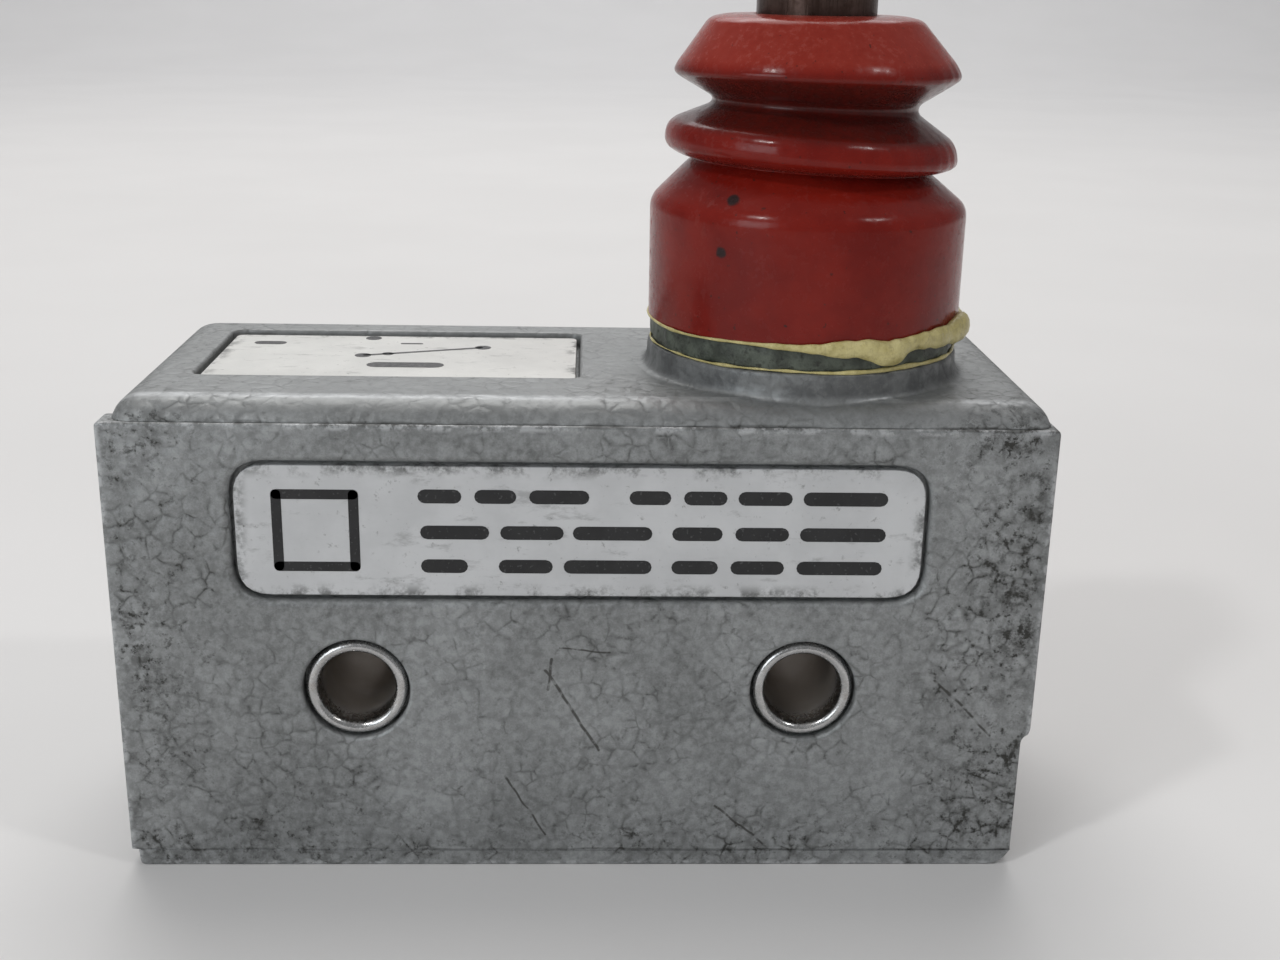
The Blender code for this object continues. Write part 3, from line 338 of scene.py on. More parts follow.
def carve(item: Piece, shape: Piece, operation: str = "DIFFERENCE") -> None:
    """Cut a shape out of a piece, or join it on, for good.

    Args:
        item: the piece that is changed.
        shape: the cutting or joined shape, which is removed afterwards.
        operation: DIFFERENCE or UNION.
    """
    modifier = item.modifiers.new("carve", "BOOLEAN")
    modifier.operation = operation
    modifier.solver = "MANIFOLD"
    modifier.object = shape
    graph = bpy.context.evaluated_depsgraph_get()
    made = bpy.data.meshes.new_from_object(item.evaluated_get(graph))
    item.modifiers.clear()
    places = np.zeros(3 * len(made.vertices))
    made.vertices.foreach_get("co", places)
    if np.ptp(places[0::3]) < 0.9 * item.dimensions.x:
        raise ValueError("%s was lost in a cut" % item.name)
    item.data = made
    bpy.data.objects.remove(shape, do_unlink=True)


def even_shading(item: Piece, angle: float = 32.0, weighted: bool = True) -> None:
    """Shade round faces smooth, keep real edges sharp and keep flat faces flat.

    Args:
        item: the piece.
        angle: edges sharper than this many degrees stay sharp.
        weighted: whether large faces decide the shading of the rounding beside them.
    """
    item.data.shade_smooth()
    item.data.set_sharp_from_angle(angle=math.radians(angle))
    if weighted:
        modifier = item.modifiers.new("even_shading", "WEIGHTED_NORMAL")
        modifier.keep_sharp = True
        modifier.weight = 100


def pocket(name: str, outline: Array, face: float, depth: float, roll: float, axis: Axis,
           inward: int) -> Piece:
    """Cutter for a pocket whose mouth rolls over into the face round it.

    Args:
        name: name of the cutter.
        outline: the pocket's outline.
        face: height of the face that it is cut in.
        depth: depth of the pocket.
        roll: radius of the rolled mouth.
        axis: direction of the cut.
        inward: 1 where the cut goes up the axis, -1 where it goes down.

    Returns:
        The cutter.
    """
    turn = np.linspace(0.0, math.pi / 2, 7)
    floor = 0.15
    offsets = np.concatenate([[roll], roll * (1 - np.sin(turn)), -floor * (1 - np.cos(turn))])
    depths = np.concatenate([[-1.0], roll * (1 - np.cos(turn)), depth - floor * (1 - np.sin(turn))])
    return skin(name, prism(outline, offsets, face + inward * depths, axis), caps=True)


# ---------------------------------------------------------------------------------------------
# Finishes
# ---------------------------------------------------------------------------------------------
class Graph:
    """The nodes of one material, with a method for each kind that the finishes use."""

    def __init__(self, name: str) -> None:
        """Start a material with a Principled shader and the piece's own coordinates."""
        self.material = bpy.data.materials.new(name)
        self.material.use_nodes = True
        self.tree = self.material.node_tree
        self.tree.nodes.clear()
        self.shader = self.add("ShaderNodeBsdfPrincipled")
        output = self.add("ShaderNodeOutputMaterial")
        self.tree.links.new(self.shader.outputs[0], output.inputs["Surface"])
        self.place = self.add("ShaderNodeTexCoord").outputs["Object"]

    def add(self, kind: str, feeds: dict[Any, Any] | None = None, **settings: Any) -> bpy.types.Node:
        """Add one node.

        Args:
            kind: the node type.
            feeds: a value or a socket for each input, by name or number.
            settings: the node's own properties.

        Returns:
            The node.
        """
        node = self.tree.nodes.new(kind)
        for key, value in settings.items():
            setattr(node, key, value)
        for key, value in (feeds or {}).items():
            self.feed(node.inputs[key], value)
        return node

    def feed(self, socket: bpy.types.NodeSocket, value: Any) -> None:
        """Link a socket to another one, or set its own value."""
        if isinstance(value, bpy.types.NodeSocket):
            self.tree.links.new(value, socket)
        elif hasattr(value, "__len__") and len(value) == 3 and socket.type == "RGBA":
            socket.default_value = (*value, 1.0)
        else:
            socket.default_value = value

    def set(self, **values: Any) -> None:
        """Feed the shader's inputs. An underscore in a name stands for a space."""
        for key, value in values.items():
            self.feed(self.shader.inputs[key.replace("_", " ").replace("  ", "_")], value)

    def noise(self, per_mm: float, detail: float = 2.0, rough: float = 0.5, where: Any = None,
              colour: bool = False) -> bpy.types.NodeSocket:
        """Cloudy pattern with `per_mm` lumps to the millimetre."""
        node = self.add("ShaderNodeTexNoise", {"Vector": where or self.place, "Scale": per_mm / MM,
                        "Detail": detail, "Roughness": rough})
        return node.outputs["Color" if colour else 0]

    def cells(self, per_mm: float, where: Any) -> bpy.types.NodeSocket:
        """Distance to the nearest edge in a pattern of `per_mm` cells to the millimetre."""
        node = self.add("ShaderNodeTexVoronoi", feature="DISTANCE_TO_EDGE")
        self.feed(node.inputs["Vector"], where)
        self.feed(node.inputs["Scale"], per_mm / MM)
        return node.outputs["Distance"]

    def math(self, operation: str, first: Any, second: Any = 0.0) -> bpy.types.NodeSocket:
        """One arithmetic step."""
        return self.add("ShaderNodeMath", {0: first, 1: second}, operation=operation).outputs[0]

    def vector(self, operation: str, first: Any, second: Any = None, scale: Any = None,
               output: int | str = 0) -> bpy.types.NodeSocket:
        """One step of vector arithmetic."""
        node = self.add("ShaderNodeVectorMath", {0: first}, operation=operation)
        if second is not None:
            self.feed(node.inputs[1], second)
        if scale is not None:
            self.feed(node.inputs["Scale"], scale)
        return node.outputs[output]

    def ramp(self, value: Any, low: float, high: float, start: float = 0.0,
             end: float = 1.0) -> bpy.types.NodeSocket:
        """Smooth step from `start` at `low` to `end` at `high`."""
        node = self.add("ShaderNodeMapRange", {"Value": value, "From Min": low, "From Max": high,
                        "To Min": start, "To Max": end}, interpolation_type="SMOOTHSTEP")
        return node.outputs["Result"]

    def mix(self, share: Any, first: Any, second: Any) -> bpy.types.NodeSocket:
        """Mix two colours."""
        node = self.add("ShaderNodeMix", data_type="RGBA")
        for number, value in ((0, share), (6, first), (7, second)):
            self.feed(node.inputs[number], value)
        return node.outputs[2]

    def axes(self, where: Any = None) -> tuple[Any, Any, Any]:
        """The three coordinates, in millimetres."""
        scaled = self.vector("SCALE", where or self.place, scale=1.0 / MM)
        return tuple(self.add("ShaderNodeSeparateXYZ", {0: scaled}).outputs)

    def wander(self, per_mm: float, reach: float, detail: float = 1.0) -> bpy.types.NodeSocket:
        """The coordinates, pushed about by `reach` millimetres by a noise."""
        push = self.vector("SUBTRACT", self.noise(per_mm, detail, colour=True), (0.5, 0.5, 0.5))
        return self.vector("ADD", self.place, self.vector("SCALE", push, scale=2 * reach * MM))

    def bump(self, height: Any, depth: float) -> bpy.types.NodeSocket:
        """Relief of `depth` millimetres where the height is 1."""
        feeds = {"Height": height, "Strength": 1.0, "Distance": depth * MM}
        return self.add("ShaderNodeBump", feeds).outputs[0]

    def fold(self, operation: str, *values: Any) -> bpy.types.NodeSocket:
        """Join several values by one operation, from the first to the last."""
        return functools.reduce(functools.partial(self.math, operation), values)

    def total(self, *values: Any) -> bpy.types.NodeSocket:
        """Sum of several values."""
        return self.fold("ADD", *values)

    def times(self, *values: Any) -> bpy.types.NodeSocket:
        """Product of several values."""
        return self.fold("MULTIPLY", *values)


@dataclass(frozen=True)
class HammerPaint:
    """Grey hammer-finish paint over a casting: domed cells, dark creases, grime, scratches, worn edges and
    painted seam shade, with painted top shade and a painted highlight on the housing.
    """

    low: tuple[float, float, float]
    high: tuple[float, float, float]
    scratches: tuple[tuple[float, float, float, float, float], ...] = ()
    # Housing only: painted shade on the lip and top, a stain on the top and boss, and a painted highlight
    # line behind the front edge.
    top_shade_stain_and_highlight: bool = False
    pale: Colour = (0.385, 0.396, 0.398)
    deep: Colour = (0.190, 0.196, 0.195)
    grime: Colour = (0.028, 0.026, 0.021)
    # Bare metal colour, also used for the painted highlight line on the housing's top.
    bare_metal_and_highlight: Colour = (0.58, 0.59, 0.60)
    groove: Colour = (0.045, 0.043, 0.038)
    stain: Colour = (0.085, 0.088, 0.090)
    cell: float = 0.92
    metallic: float = 0.42
    relief: float = 0.075
    # Y of the painted highlight line on the top, behind the rounded front edge.
    lip: float = -8.75
    top_seam: float = 26.85
    low_seam: float = 1.02
    deck: float = 28.0

    def make(self, name: str) -> bpy.types.Material:
        """Build the material.

        Args:
            name: name of the material.

        Returns:
            The paint for the casting between `low` and `high`.
        """
        g = Graph(name)
        warped = g.wander(0.9, 0.34, 2.0)
        edge = g.cells(self.cell, warped)
        patch = g.ramp(g.noise(0.24, 3.0), 0.38, 0.60)
        broken = g.ramp(g.noise(1.1, 4.0, 0.62), 0.44, 0.60)
        dirt = self._dirt(g)
        soft = g.times(g.ramp(edge, 0.0, 0.18, 1.0, 0.0),
                       g.total(0.25, g.times(patch, 0.5), g.times(dirt, 0.5)),
                       g.ramp(g.noise(0.8, 3.0), 0.36, 0.60, 0.25, 1.0))
        sharp = g.times(g.ramp(edge, 0.0, 0.085, 1.0, 0.0), broken,
                        g.total(0.10, g.times(patch, 0.34), g.times(dirt, 0.25)))
        specks = g.times(g.ramp(g.noise(2.2, 6.0, 0.70), 0.55, 0.64), g.total(0.26, dirt))
        blots = g.times(g.ramp(g.noise(0.9, 9.0, 0.78), 0.47, 0.62), dirt)
        line = g.math("MINIMUM", g.total(g.times(soft, 0.36), g.times(sharp, 0.70), self._seam_shade(g),
                                         g.times(specks, 0.70), g.times(blots, 0.85)), 1.0)
        tone = g.ramp(g.noise(0.16, 4.0, 0.6), 0.32, 0.68)
        mottle = g.ramp(g.noise(1.9, 6.0, 0.78), 0.36, 0.64)
        colour = g.mix(g.total(g.times(tone, 0.42), g.times(mottle, 0.58)), self.deep, self.pale)
        # Mix toward the grime colour: the creases, specks and blots are dirt, the seam lines are painted
        # shade.
        colour = g.mix(g.times(line, 0.90), colour, self.grime)
        scratch = self._scratches(g)
        if scratch is not None:
            colour = g.mix(g.times(scratch, 0.85), colour, self.groove)
        if self.top_shade_stain_and_highlight:
            # Painted shade: mixed toward the deep tone, from nothing at z 26.6 up to 62% at z 27.6 and above,
            # so the lip, the top face and the boss are darker where they face the overhead light.
            colour = g.mix(g.ramp(g.axes()[2], 26.6, 27.6, 0.0, 0.62), colour, self.deep)
            stain = g.times(g.ramp(g.axes()[2], self.deck, self.deck + 0.4),
                            g.ramp(g.noise(0.5, 7.0, 0.72), 0.42, 0.62, 0.12, 0.75))
            colour = g.mix(stain, colour, self.stain)
        wear_and_highlight = self._wear_and_highlight(g)
        # Mix toward bare metal at the worn edges and at the painted highlight line.
        colour = g.mix(wear_and_highlight, colour, self.bare_metal_and_highlight)
        rough = g.total(g.ramp(mottle, 0.0, 1.0, 0.40, 0.50), g.times(line, 0.35), g.times(wear_and_highlight, -0.12))
        dome = g.times(g.ramp(edge, 0.0, 0.42), g.total(0.45, g.times(patch, 0.55)))
        relief = g.total(g.times(dome, 0.42), g.times(g.noise(0.5, 2.0), 0.8),
                         g.times(g.noise(4.5, 3.0), 0.07), g.times(line, -0.22))
        g.set(Base_Color=colour, Metallic=self.metallic, Roughness=rough, Normal=g.bump(relief, self.relief))
        return g.material

    def _dirt(self, g: Graph) -> Any:
        """How dirty the paint is: most near both ends and the foot, less on the top and the end faces."""
        x, _, z = g.axes()
        left = g.ramp(x, self.low[0] + 8.0, self.low[0] + 0.5)
        right = g.ramp(x, self.high[0] - 9.0, self.high[0] - 0.5)
        foot = g.times(g.ramp(z, 8.0, 2.0), g.ramp(x, self.low[0] + 18.0, self.low[0] + 9.0), 0.85)
        foot = g.math("MAXIMUM", foot, g.times(g.ramp(z, 5.0, 0.0), 0.5))
        worst = g.fold("MAXIMUM", g.times(left, 0.85), right, foot)
        side = g.times(g.ramp(z, self.deck - 0.3, self.deck - 0.1, 1.0, 0.35),
                       g.ramp(g.math("ABSOLUTE", x), 25.35, 25.85, 1.0, 0.4))
        return g.times(worst, g.ramp(g.noise(0.13, 3.0, 0.6), 0.30, 0.62, 0.15, 1.0), side)

    def _seam_shade(self, g: Graph) -> Any:
        """Painted shade along the two seams of the front, in broken, wavering dark lines where the joints
        hold shade.
        """
        _, _, z = g.axes(g.wander(0.35, 0.16, 3.0))
        top = g.ramp(g.math("ABSOLUTE", g.math("SUBTRACT", z, self.top_seam)), 0.04, 0.16, 1.0, 0.0)
        low = g.ramp(g.math("ABSOLUTE", g.math("SUBTRACT", z, self.low_seam)), 0.03, 0.11, 1.0, 0.0)
        broken = g.ramp(g.noise(0.28, 5.0, 0.6), 0.42, 0.58)
        return g.total(g.times(top, broken, 0.62), g.times(low, broken, 0.35))

    def _wear_and_highlight(self, g: Graph) -> Any:
        """Bare metal along the casting's outer edges, and on the housing a painted highlight line along the
        top just behind its rounded front edge.

        The second largest of the three distances past the box's faces is near zero only at an edge.
        """
        centre = tuple((a + b) / 2 * MM for a, b in zip(self.low, self.high))
        half = tuple((b - a) / 2 * MM for a, b in zip(self.low, self.high))
        out = g.vector("SUBTRACT", g.vector("ABSOLUTE", g.vector("SUBTRACT", g.place, centre)), half)
        x, y, z = g.axes(out)
        second = g.math("MAXIMUM", g.math("MINIMUM", x, y),
                        g.math("MINIMUM", g.math("MAXIMUM", x, y), z))
        chips = g.ramp(g.noise(1.1, 6.0, 0.7), 0.47, 0.60)
        wear_and_highlight = g.times(g.ramp(second, -0.42, -0.12), chips, 0.65)
        if self.top_shade_stain_and_highlight:
            # Painted highlight: a broken bright line on the top just behind its rounded front edge, where
            # light from behind catches the edge.
            _, y, z = g.axes()
            rim = g.times(g.ramp(g.math("ABSOLUTE", g.math("SUBTRACT", y, self.lip)), 0.48, 0.16),
                          g.ramp(z, 27.3, 27.5), g.ramp(z, 28.2, 28.05))
            highlight_breakup = g.ramp(g.noise(0.5, 5.0, 0.7), 0.36, 0.60, 0.05, 0.42)
            wear_and_highlight = g.math("MAXIMUM", wear_and_highlight, g.times(rim, highlight_breakup))
        return wear_and_highlight

    def _scratches(self, g: Graph) -> Any:
        """Dark scratches on the front: distance from each segment, against its half width."""
        if not self.scratches:
            return None
        flat = g.vector("MULTIPLY", g.wander(0.7, 0.16), (1.0, 0.0, 1.0))
        front = g.ramp(g.axes()[1], self.low[1] + 0.6, self.low[1] + 0.3)
        marks = []
        for x0, z0, x1, z1, wide in self.scratches:
            length = math.hypot(x1 - x0, z1 - z0)
            way = ((x1 - x0) / length, 0.0, (z1 - z0) / length)
            away = g.vector("SUBTRACT", flat, (x0 * MM, 0.0, z0 * MM))
            reach = g.vector("DOT_PRODUCT", away, way, output="Value")
            reach = g.math("MINIMUM", g.math("MAXIMUM", reach, 0.0), length * MM)
            gap = g.vector("LENGTH", g.vector("SUBTRACT", away, g.vector("SCALE", way, scale=reach)),
                           output="Value")
            marks.append(g.ramp(gap, wide * 0.35 * MM, wide * MM, 1.0, 0.0))
        return g.times(g.fold("MAXIMUM", *marks), front, g.ramp(g.noise(1.6, 3.0), 0.36, 0.50, 0.25, 1.0))


@dataclass(frozen=True)
class BootRubber:
    """Glossy deep red moulded rubber: upper cone painted lighter, painted shade in the fold, dust and a few
    black marks.
    """

    red: Colour = (0.158, 0.0066, 0.0036)
    bright: Colour = (0.215, 0.0125, 0.0068)
    dust: Colour = (0.30, 0.135, 0.115)
    # Lighter orange-red painted on the upper cone, standing in for the light from above.
    cone: Colour = (0.30, 0.034, 0.020)
    # Colour of the painted shade in the fold under the upper rim.
    dirt: Colour = (0.030, 0.009, 0.007)
    speck: Colour = (0.03, 0.012, 0.01)
    mark: Colour = (0.012, 0.012, 0.012)
    bloom: Colour = (0.9, 0.62, 0.58)
    fold: tuple[float, float, float] = (13.0, 0.0, 43.3)
    marks: tuple[tuple[float, float, float, float], ...] = ()

    def make(self, name: str) -> bpy.types.Material:
        """Build the material. The fold between the two rims, centred on `fold`, gets painted shade."""
        g = Graph(name)
        cloud = g.ramp(g.noise(0.22, 5.0, 0.6), 0.34, 0.66)
        colour = g.mix(cloud, self.red, self.bright)
        grain = g.noise(2.4, 6.0, 0.7)
        film = g.times(g.ramp(grain, 0.50, 0.72), g.ramp(g.noise(0.35, 3.0), 0.42, 0.66))
        colour = g.mix(g.times(film, 0.10), colour, self.dust)
        x, y, z = g.axes(g.vector("SUBTRACT", g.place, tuple(part * MM for part in self.fold)))
        radius = g.math("SQRT", g.total(g.times(x, x), g.times(y, y)))
        height = g.math("ABSOLUTE", z)
        # Painted shade: the lower convolution's slope under the upper rim is darkened, broken by the grain,
        # where the rim shades it.
        fold_shade = g.times(g.ramp(radius, 8.45, 7.7), g.ramp(height, 2.2, 1.6))
        colour = g.mix(g.times(fold_shade, g.ramp(grain, 0.3, 0.6, 0.50, 0.72)), colour, self.dirt)
        # Painted light: the upper cone above the upper rim is mixed toward a lighter orange-red where light
        # from above falls on it, broken by the grain.
        upper = g.times(g.ramp(z, 1.9, 2.6), g.ramp(grain, 0.3, 0.7, 0.45, 0.75))
        colour = g.mix(upper, colour, self.cone)
        specks = g.ramp(g.noise(3.1, 2.0, 0.5), 0.70, 0.74)
        colour = g.mix(g.times(specks, 0.75), colour, self.speck)
        for x, y, z, size in self.marks:
            away = g.vector("SUBTRACT", g.wander(2.0, 0.16, 3.0), (x * MM, y * MM, z * MM))
            near = g.ramp(g.vector("LENGTH", away, output="Value"), size * 0.55 * MM, size * MM, 1.0, 0.0)
            colour = g.mix(g.times(near, 0.92), colour, self.mark)
        rough = g.total(g.ramp(grain, 0.35, 0.70, 0.15, 0.30), g.times(film, 0.25))
        relief = g.total(g.times(g.noise(0.45, 3.0), 0.9), g.times(grain, 0.10),
                         g.times(g.noise(9.0, 2.0), 0.03))
        g.set(Base_Color=colour, Roughness=rough, Specular_IOR_Level=0.24, Sheen_Weight=0.02,
              Sheen_Roughness=0.45, Sheen_Tint=self.bloom, Normal=g.bump(relief, 0.045))
        return g.material


@dataclass(frozen=True)
class Compound:
    """Cured sealing compound or cement: lumpy, half glossy, with dirt that has stuck to it."""

    pale: Colour
    deep: Colour
    dirt: Colour
    dirty: float = 0.3
    rough: float = 0.42
    lumps: float = 0.10

    def make(self, name: str) -> bpy.types.Material:
        """Build the material."""
        g = Graph(name)
        colour = g.mix(g.ramp(g.noise(0.9, 5.0, 0.65), 0.34, 0.66), self.deep, self.pale)
        stuck = g.times(g.ramp(g.noise(2.2, 6.0, 0.7), 0.52, 0.66), self.dirty * 2.0)
        colour = g.mix(g.math("MINIMUM", stuck, 0.85), colour, self.dirt)
        relief = g.total(g.noise(1.4, 4.0, 0.6), g.times(g.noise(6.0, 3.0), 0.25))
        g.set(Base_Color=colour, Roughness=g.total(g.ramp(g.noise(1.8, 3.0), 0.3, 0.7, self.rough - 0.08,
              self.rough + 0.10), g.times(stuck, 0.2)),
              Normal=g.bump(relief, self.lumps))
        return g.material


@dataclass(frozen=True)
class BareMetal:
    """Unpainted metal with a grain, a tarnish and fine pits."""

    bright: Colour
    dull: Colour
    stain: Colour
    stained: float = 0.25
    rough: float = 0.28
    grain: Axis | None = None
    bore: tuple[float, float] | None = None

    def make(self, name: str) -> bpy.types.Material:
        """Build the material."""
        g = Graph(name)
        stretch = [1.0, 1.0, 1.0]
        if self.grain is not None:
            stretch[self.grain.value] = 0.06
        along = g.vector("MULTIPLY", g.place, tuple(stretch))
        streak = g.noise(7.0, 4.0, 0.65, along)
        broad = g.noise(0.55, 4.0, 0.6, g.vector("MULTIPLY", g.place, tuple(max(s, 0.35) for s in stretch)))
        colour = g.mix(g.total(g.times(g.ramp(streak, 0.34, 0.66), 0.5),
                               g.times(g.ramp(broad, 0.36, 0.64), 0.5)), self.dull, self.bright)
        spots = g.ramp(g.noise(1.3, 7.0, 0.7), 0.48, 0.68)
        share = g.times(spots, self.stained * 1.8)
        if self.bore is not None:
            share = g.math("MAXIMUM", share, self._bore(g))
        share = g.math("MINIMUM", share, 0.96)
        colour = g.mix(share, colour, self.stain)
        rough = g.total(g.ramp(streak, 0.3, 0.7, self.rough - 0.06, self.rough + 0.08), g.times(share, 0.3))
        relief = g.total(g.times(streak, 0.5), g.times(g.noise(2.2, 4.0), 0.6), g.times(share, -0.3))
        g.set(Base_Color=colour, Metallic=g.ramp(share, 0.0, 1.0, 1.0, 0.72), Roughness=rough,
              Normal=g.bump(relief, 0.012))
        return g.material

    def _bore(self, g: Graph) -> Any:
        """Grime in the bore, from the distances from the middle where it starts and where it is full."""
        _, y, _ = g.axes()
        deep = g.ramp(g.math("ABSOLUTE", y), self.bore[0], self.bore[1])
        return g.times(deep, g.ramp(g.noise(0.5, 4.0, 0.5), 0.30, 0.65, 0.62, 0.88))


@dataclass(frozen=True)
class Foil:
    """Printed label stock: a satin film with a faint grain, rubbed patches and dirt at its rim."""

    face: Colour
    shade: Colour
    metallic: float
    low: tuple[float, float]
    high: tuple[float, float]
    across: Axis = Axis.Y
    dirt: Colour = (0.10, 0.10, 0.095)

    def make(self, name: str) -> bpy.types.Material:
        """Build the material."""
        g = Graph(name)
        grain = g.noise(4.5, 4.0, 0.6, g.vector("MULTIPLY", g.place, (0.25, 1.0, 1.0)))
        cloud = g.noise(0.20, 5.0, 0.62)
        colour = g.mix(g.total(g.times(g.ramp(cloud, 0.34, 0.66), 0.7), g.times(grain, 0.3)),
                       self.shade, self.face)
        parts = [part for number, part in enumerate(g.axes()) if number != self.across.value]
        gaps = []
        for part, low, high in zip(parts, self.low, self.high):
            gaps += [g.math("SUBTRACT", part, low), g.math("SUBTRACT", high, part)]
        rim = g.math("MINIMUM", g.math("MINIMUM", gaps[0], gaps[1]), g.math("MINIMUM", gaps[2], gaps[3]))
        edge = g.times(g.ramp(rim, 0.9, 0.05), g.ramp(g.noise(0.7, 6.0, 0.7), 0.46, 0.64))
        specks = g.ramp(g.noise(2.1, 7.0, 0.74), 0.60, 0.70)
        rubs = g.times(g.ramp(g.noise(0.9, 6.0, 0.7, g.vector("MULTIPLY", g.place, (0.35, 1.0, 1.0))),
                              0.56, 0.70), 0.35)
        share = g.math("MINIMUM", g.total(g.times(edge, 0.8), g.times(specks, 0.5), rubs), 0.85)
        colour = g.mix(share, colour, self.dirt)
        relief = g.total(g.noise(0.5, 2.0), g.times(grain, 0.12))
        g.set(Base_Color=colour, Metallic=self.metallic, Roughness=g.total(0.36, g.times(share, 0.3),
              g.times(grain, 0.12)), Normal=g.bump(relief, 0.02))
        return g.material


@dataclass(frozen=True)
class Moulding:
    """Plain moulded or pressed material: a base colour, a second tone, a grain and fine pits."""

    base: Colour
    tone: Colour
    rough: float
    grain: float
    relief: float = 0.02
    fleck: Colour = (0.2, 0.2, 0.2)
    flecks: float = 0.0

    def make(self, name: str) -> bpy.types.Material:
        """Build the material."""
        g = Graph(name)
        cloud = g.noise(self.grain * 0.2, 4.0, 0.6)
        fine = g.noise(self.grain, 5.0, 0.65)
        colour = g.mix(g.total(g.times(g.ramp(cloud, 0.35, 0.65), 0.6), g.times(fine, 0.4)),
                       self.base, self.tone)
        colour = g.mix(g.times(g.ramp(g.noise(self.grain * 1.7, 3.0), 0.62, 0.70), self.flecks),
                       colour, self.fleck)
        g.set(Base_Color=colour, Roughness=g.ramp(fine, 0.3, 0.7, self.rough - 0.07, self.rough + 0.09),
              Normal=g.bump(g.total(fine, g.times(cloud, 0.6)), self.relief))
        return g.material


class Finishes:
    """Every finish in the switch, made once and shared by the pieces that have it."""

    def __init__(self) -> None:
        """Make the materials that several pieces share."""
        self.dark_steel = BareMetal((0.125, 0.085, 0.074), (0.055, 0.035, 0.029), (0.035, 0.018, 0.011),
                                    0.30, 0.30, Axis.Z).make("plunger_steel")
        self.bright_steel = BareMetal((0.66, 0.65, 0.63), (0.44, 0.43, 0.42), (0.16, 0.13, 0.10),
                                      0.18, 0.25).make("plated_steel")
        self.eyelet = BareMetal((0.62, 0.62, 0.62), (0.42, 0.42, 0.415), (0.42, 0.37, 0.32),
                                0.16, 0.21, None, (9.9, 8.2)).make("eyelet_steel")
        self.spring = BareMetal((0.46, 0.46, 0.47), (0.26, 0.26, 0.27), (0.12, 0.08, 0.05),
                                0.12, 0.26).make("spring_steel")
        self.brass = BareMetal((0.74, 0.54, 0.24), (0.52, 0.36, 0.14), (0.20, 0.12, 0.06),
                               0.22, 0.27).make("brass")
        self.bronze = BareMetal((0.66, 0.38, 0.20), (0.46, 0.25, 0.12), (0.18, 0.09, 0.05),
                                0.15, 0.26, Axis.X).make("spring_bronze")
        self.silver = BareMetal((0.88, 0.87, 0.84), (0.66, 0.65, 0.62), (0.20, 0.17, 0.13),
                                0.20, 0.22).make("contact_silver")
        self.phenolic = Moulding((0.040, 0.024, 0.016), (0.075, 0.045, 0.030), 0.42, 1.6, 0.015,
                                 (0.16, 0.10, 0.06), 0.35).make("phenolic_moulding")
        self.fibre = Moulding((0.40, 0.29, 0.15), (0.54, 0.42, 0.25), 0.72, 2.4, 0.03,
                              (0.25, 0.16, 0.08), 0.5).make("fibre_board")
        self.black_rubber = Moulding((0.016, 0.016, 0.017), (0.035, 0.034, 0.033), 0.62, 2.0, 0.04,
                                     (0.12, 0.11, 0.10), 0.4).make("black_rubber")
        self.ink = Moulding((0.007, 0.007, 0.008), (0.018, 0.018, 0.019), 0.40, 3.0, 0.01,
                            (0.16, 0.16, 0.16), 0.30).make("printing_ink")


def settle(item: Piece, body: str, material: bpy.types.Material, slot: str, *nodes: str) -> Piece:
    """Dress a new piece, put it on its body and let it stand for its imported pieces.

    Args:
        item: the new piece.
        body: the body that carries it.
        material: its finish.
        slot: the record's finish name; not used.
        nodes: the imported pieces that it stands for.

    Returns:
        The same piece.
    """
    item.data.materials.clear()
    item.data.materials.append(material)
    if nodes:
        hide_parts(*nodes)
    if body:
        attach(item, body)
    LOG.info("%s: %d faces on %s", item.name, len(item.data.polygons), body or "a blend")
    return item


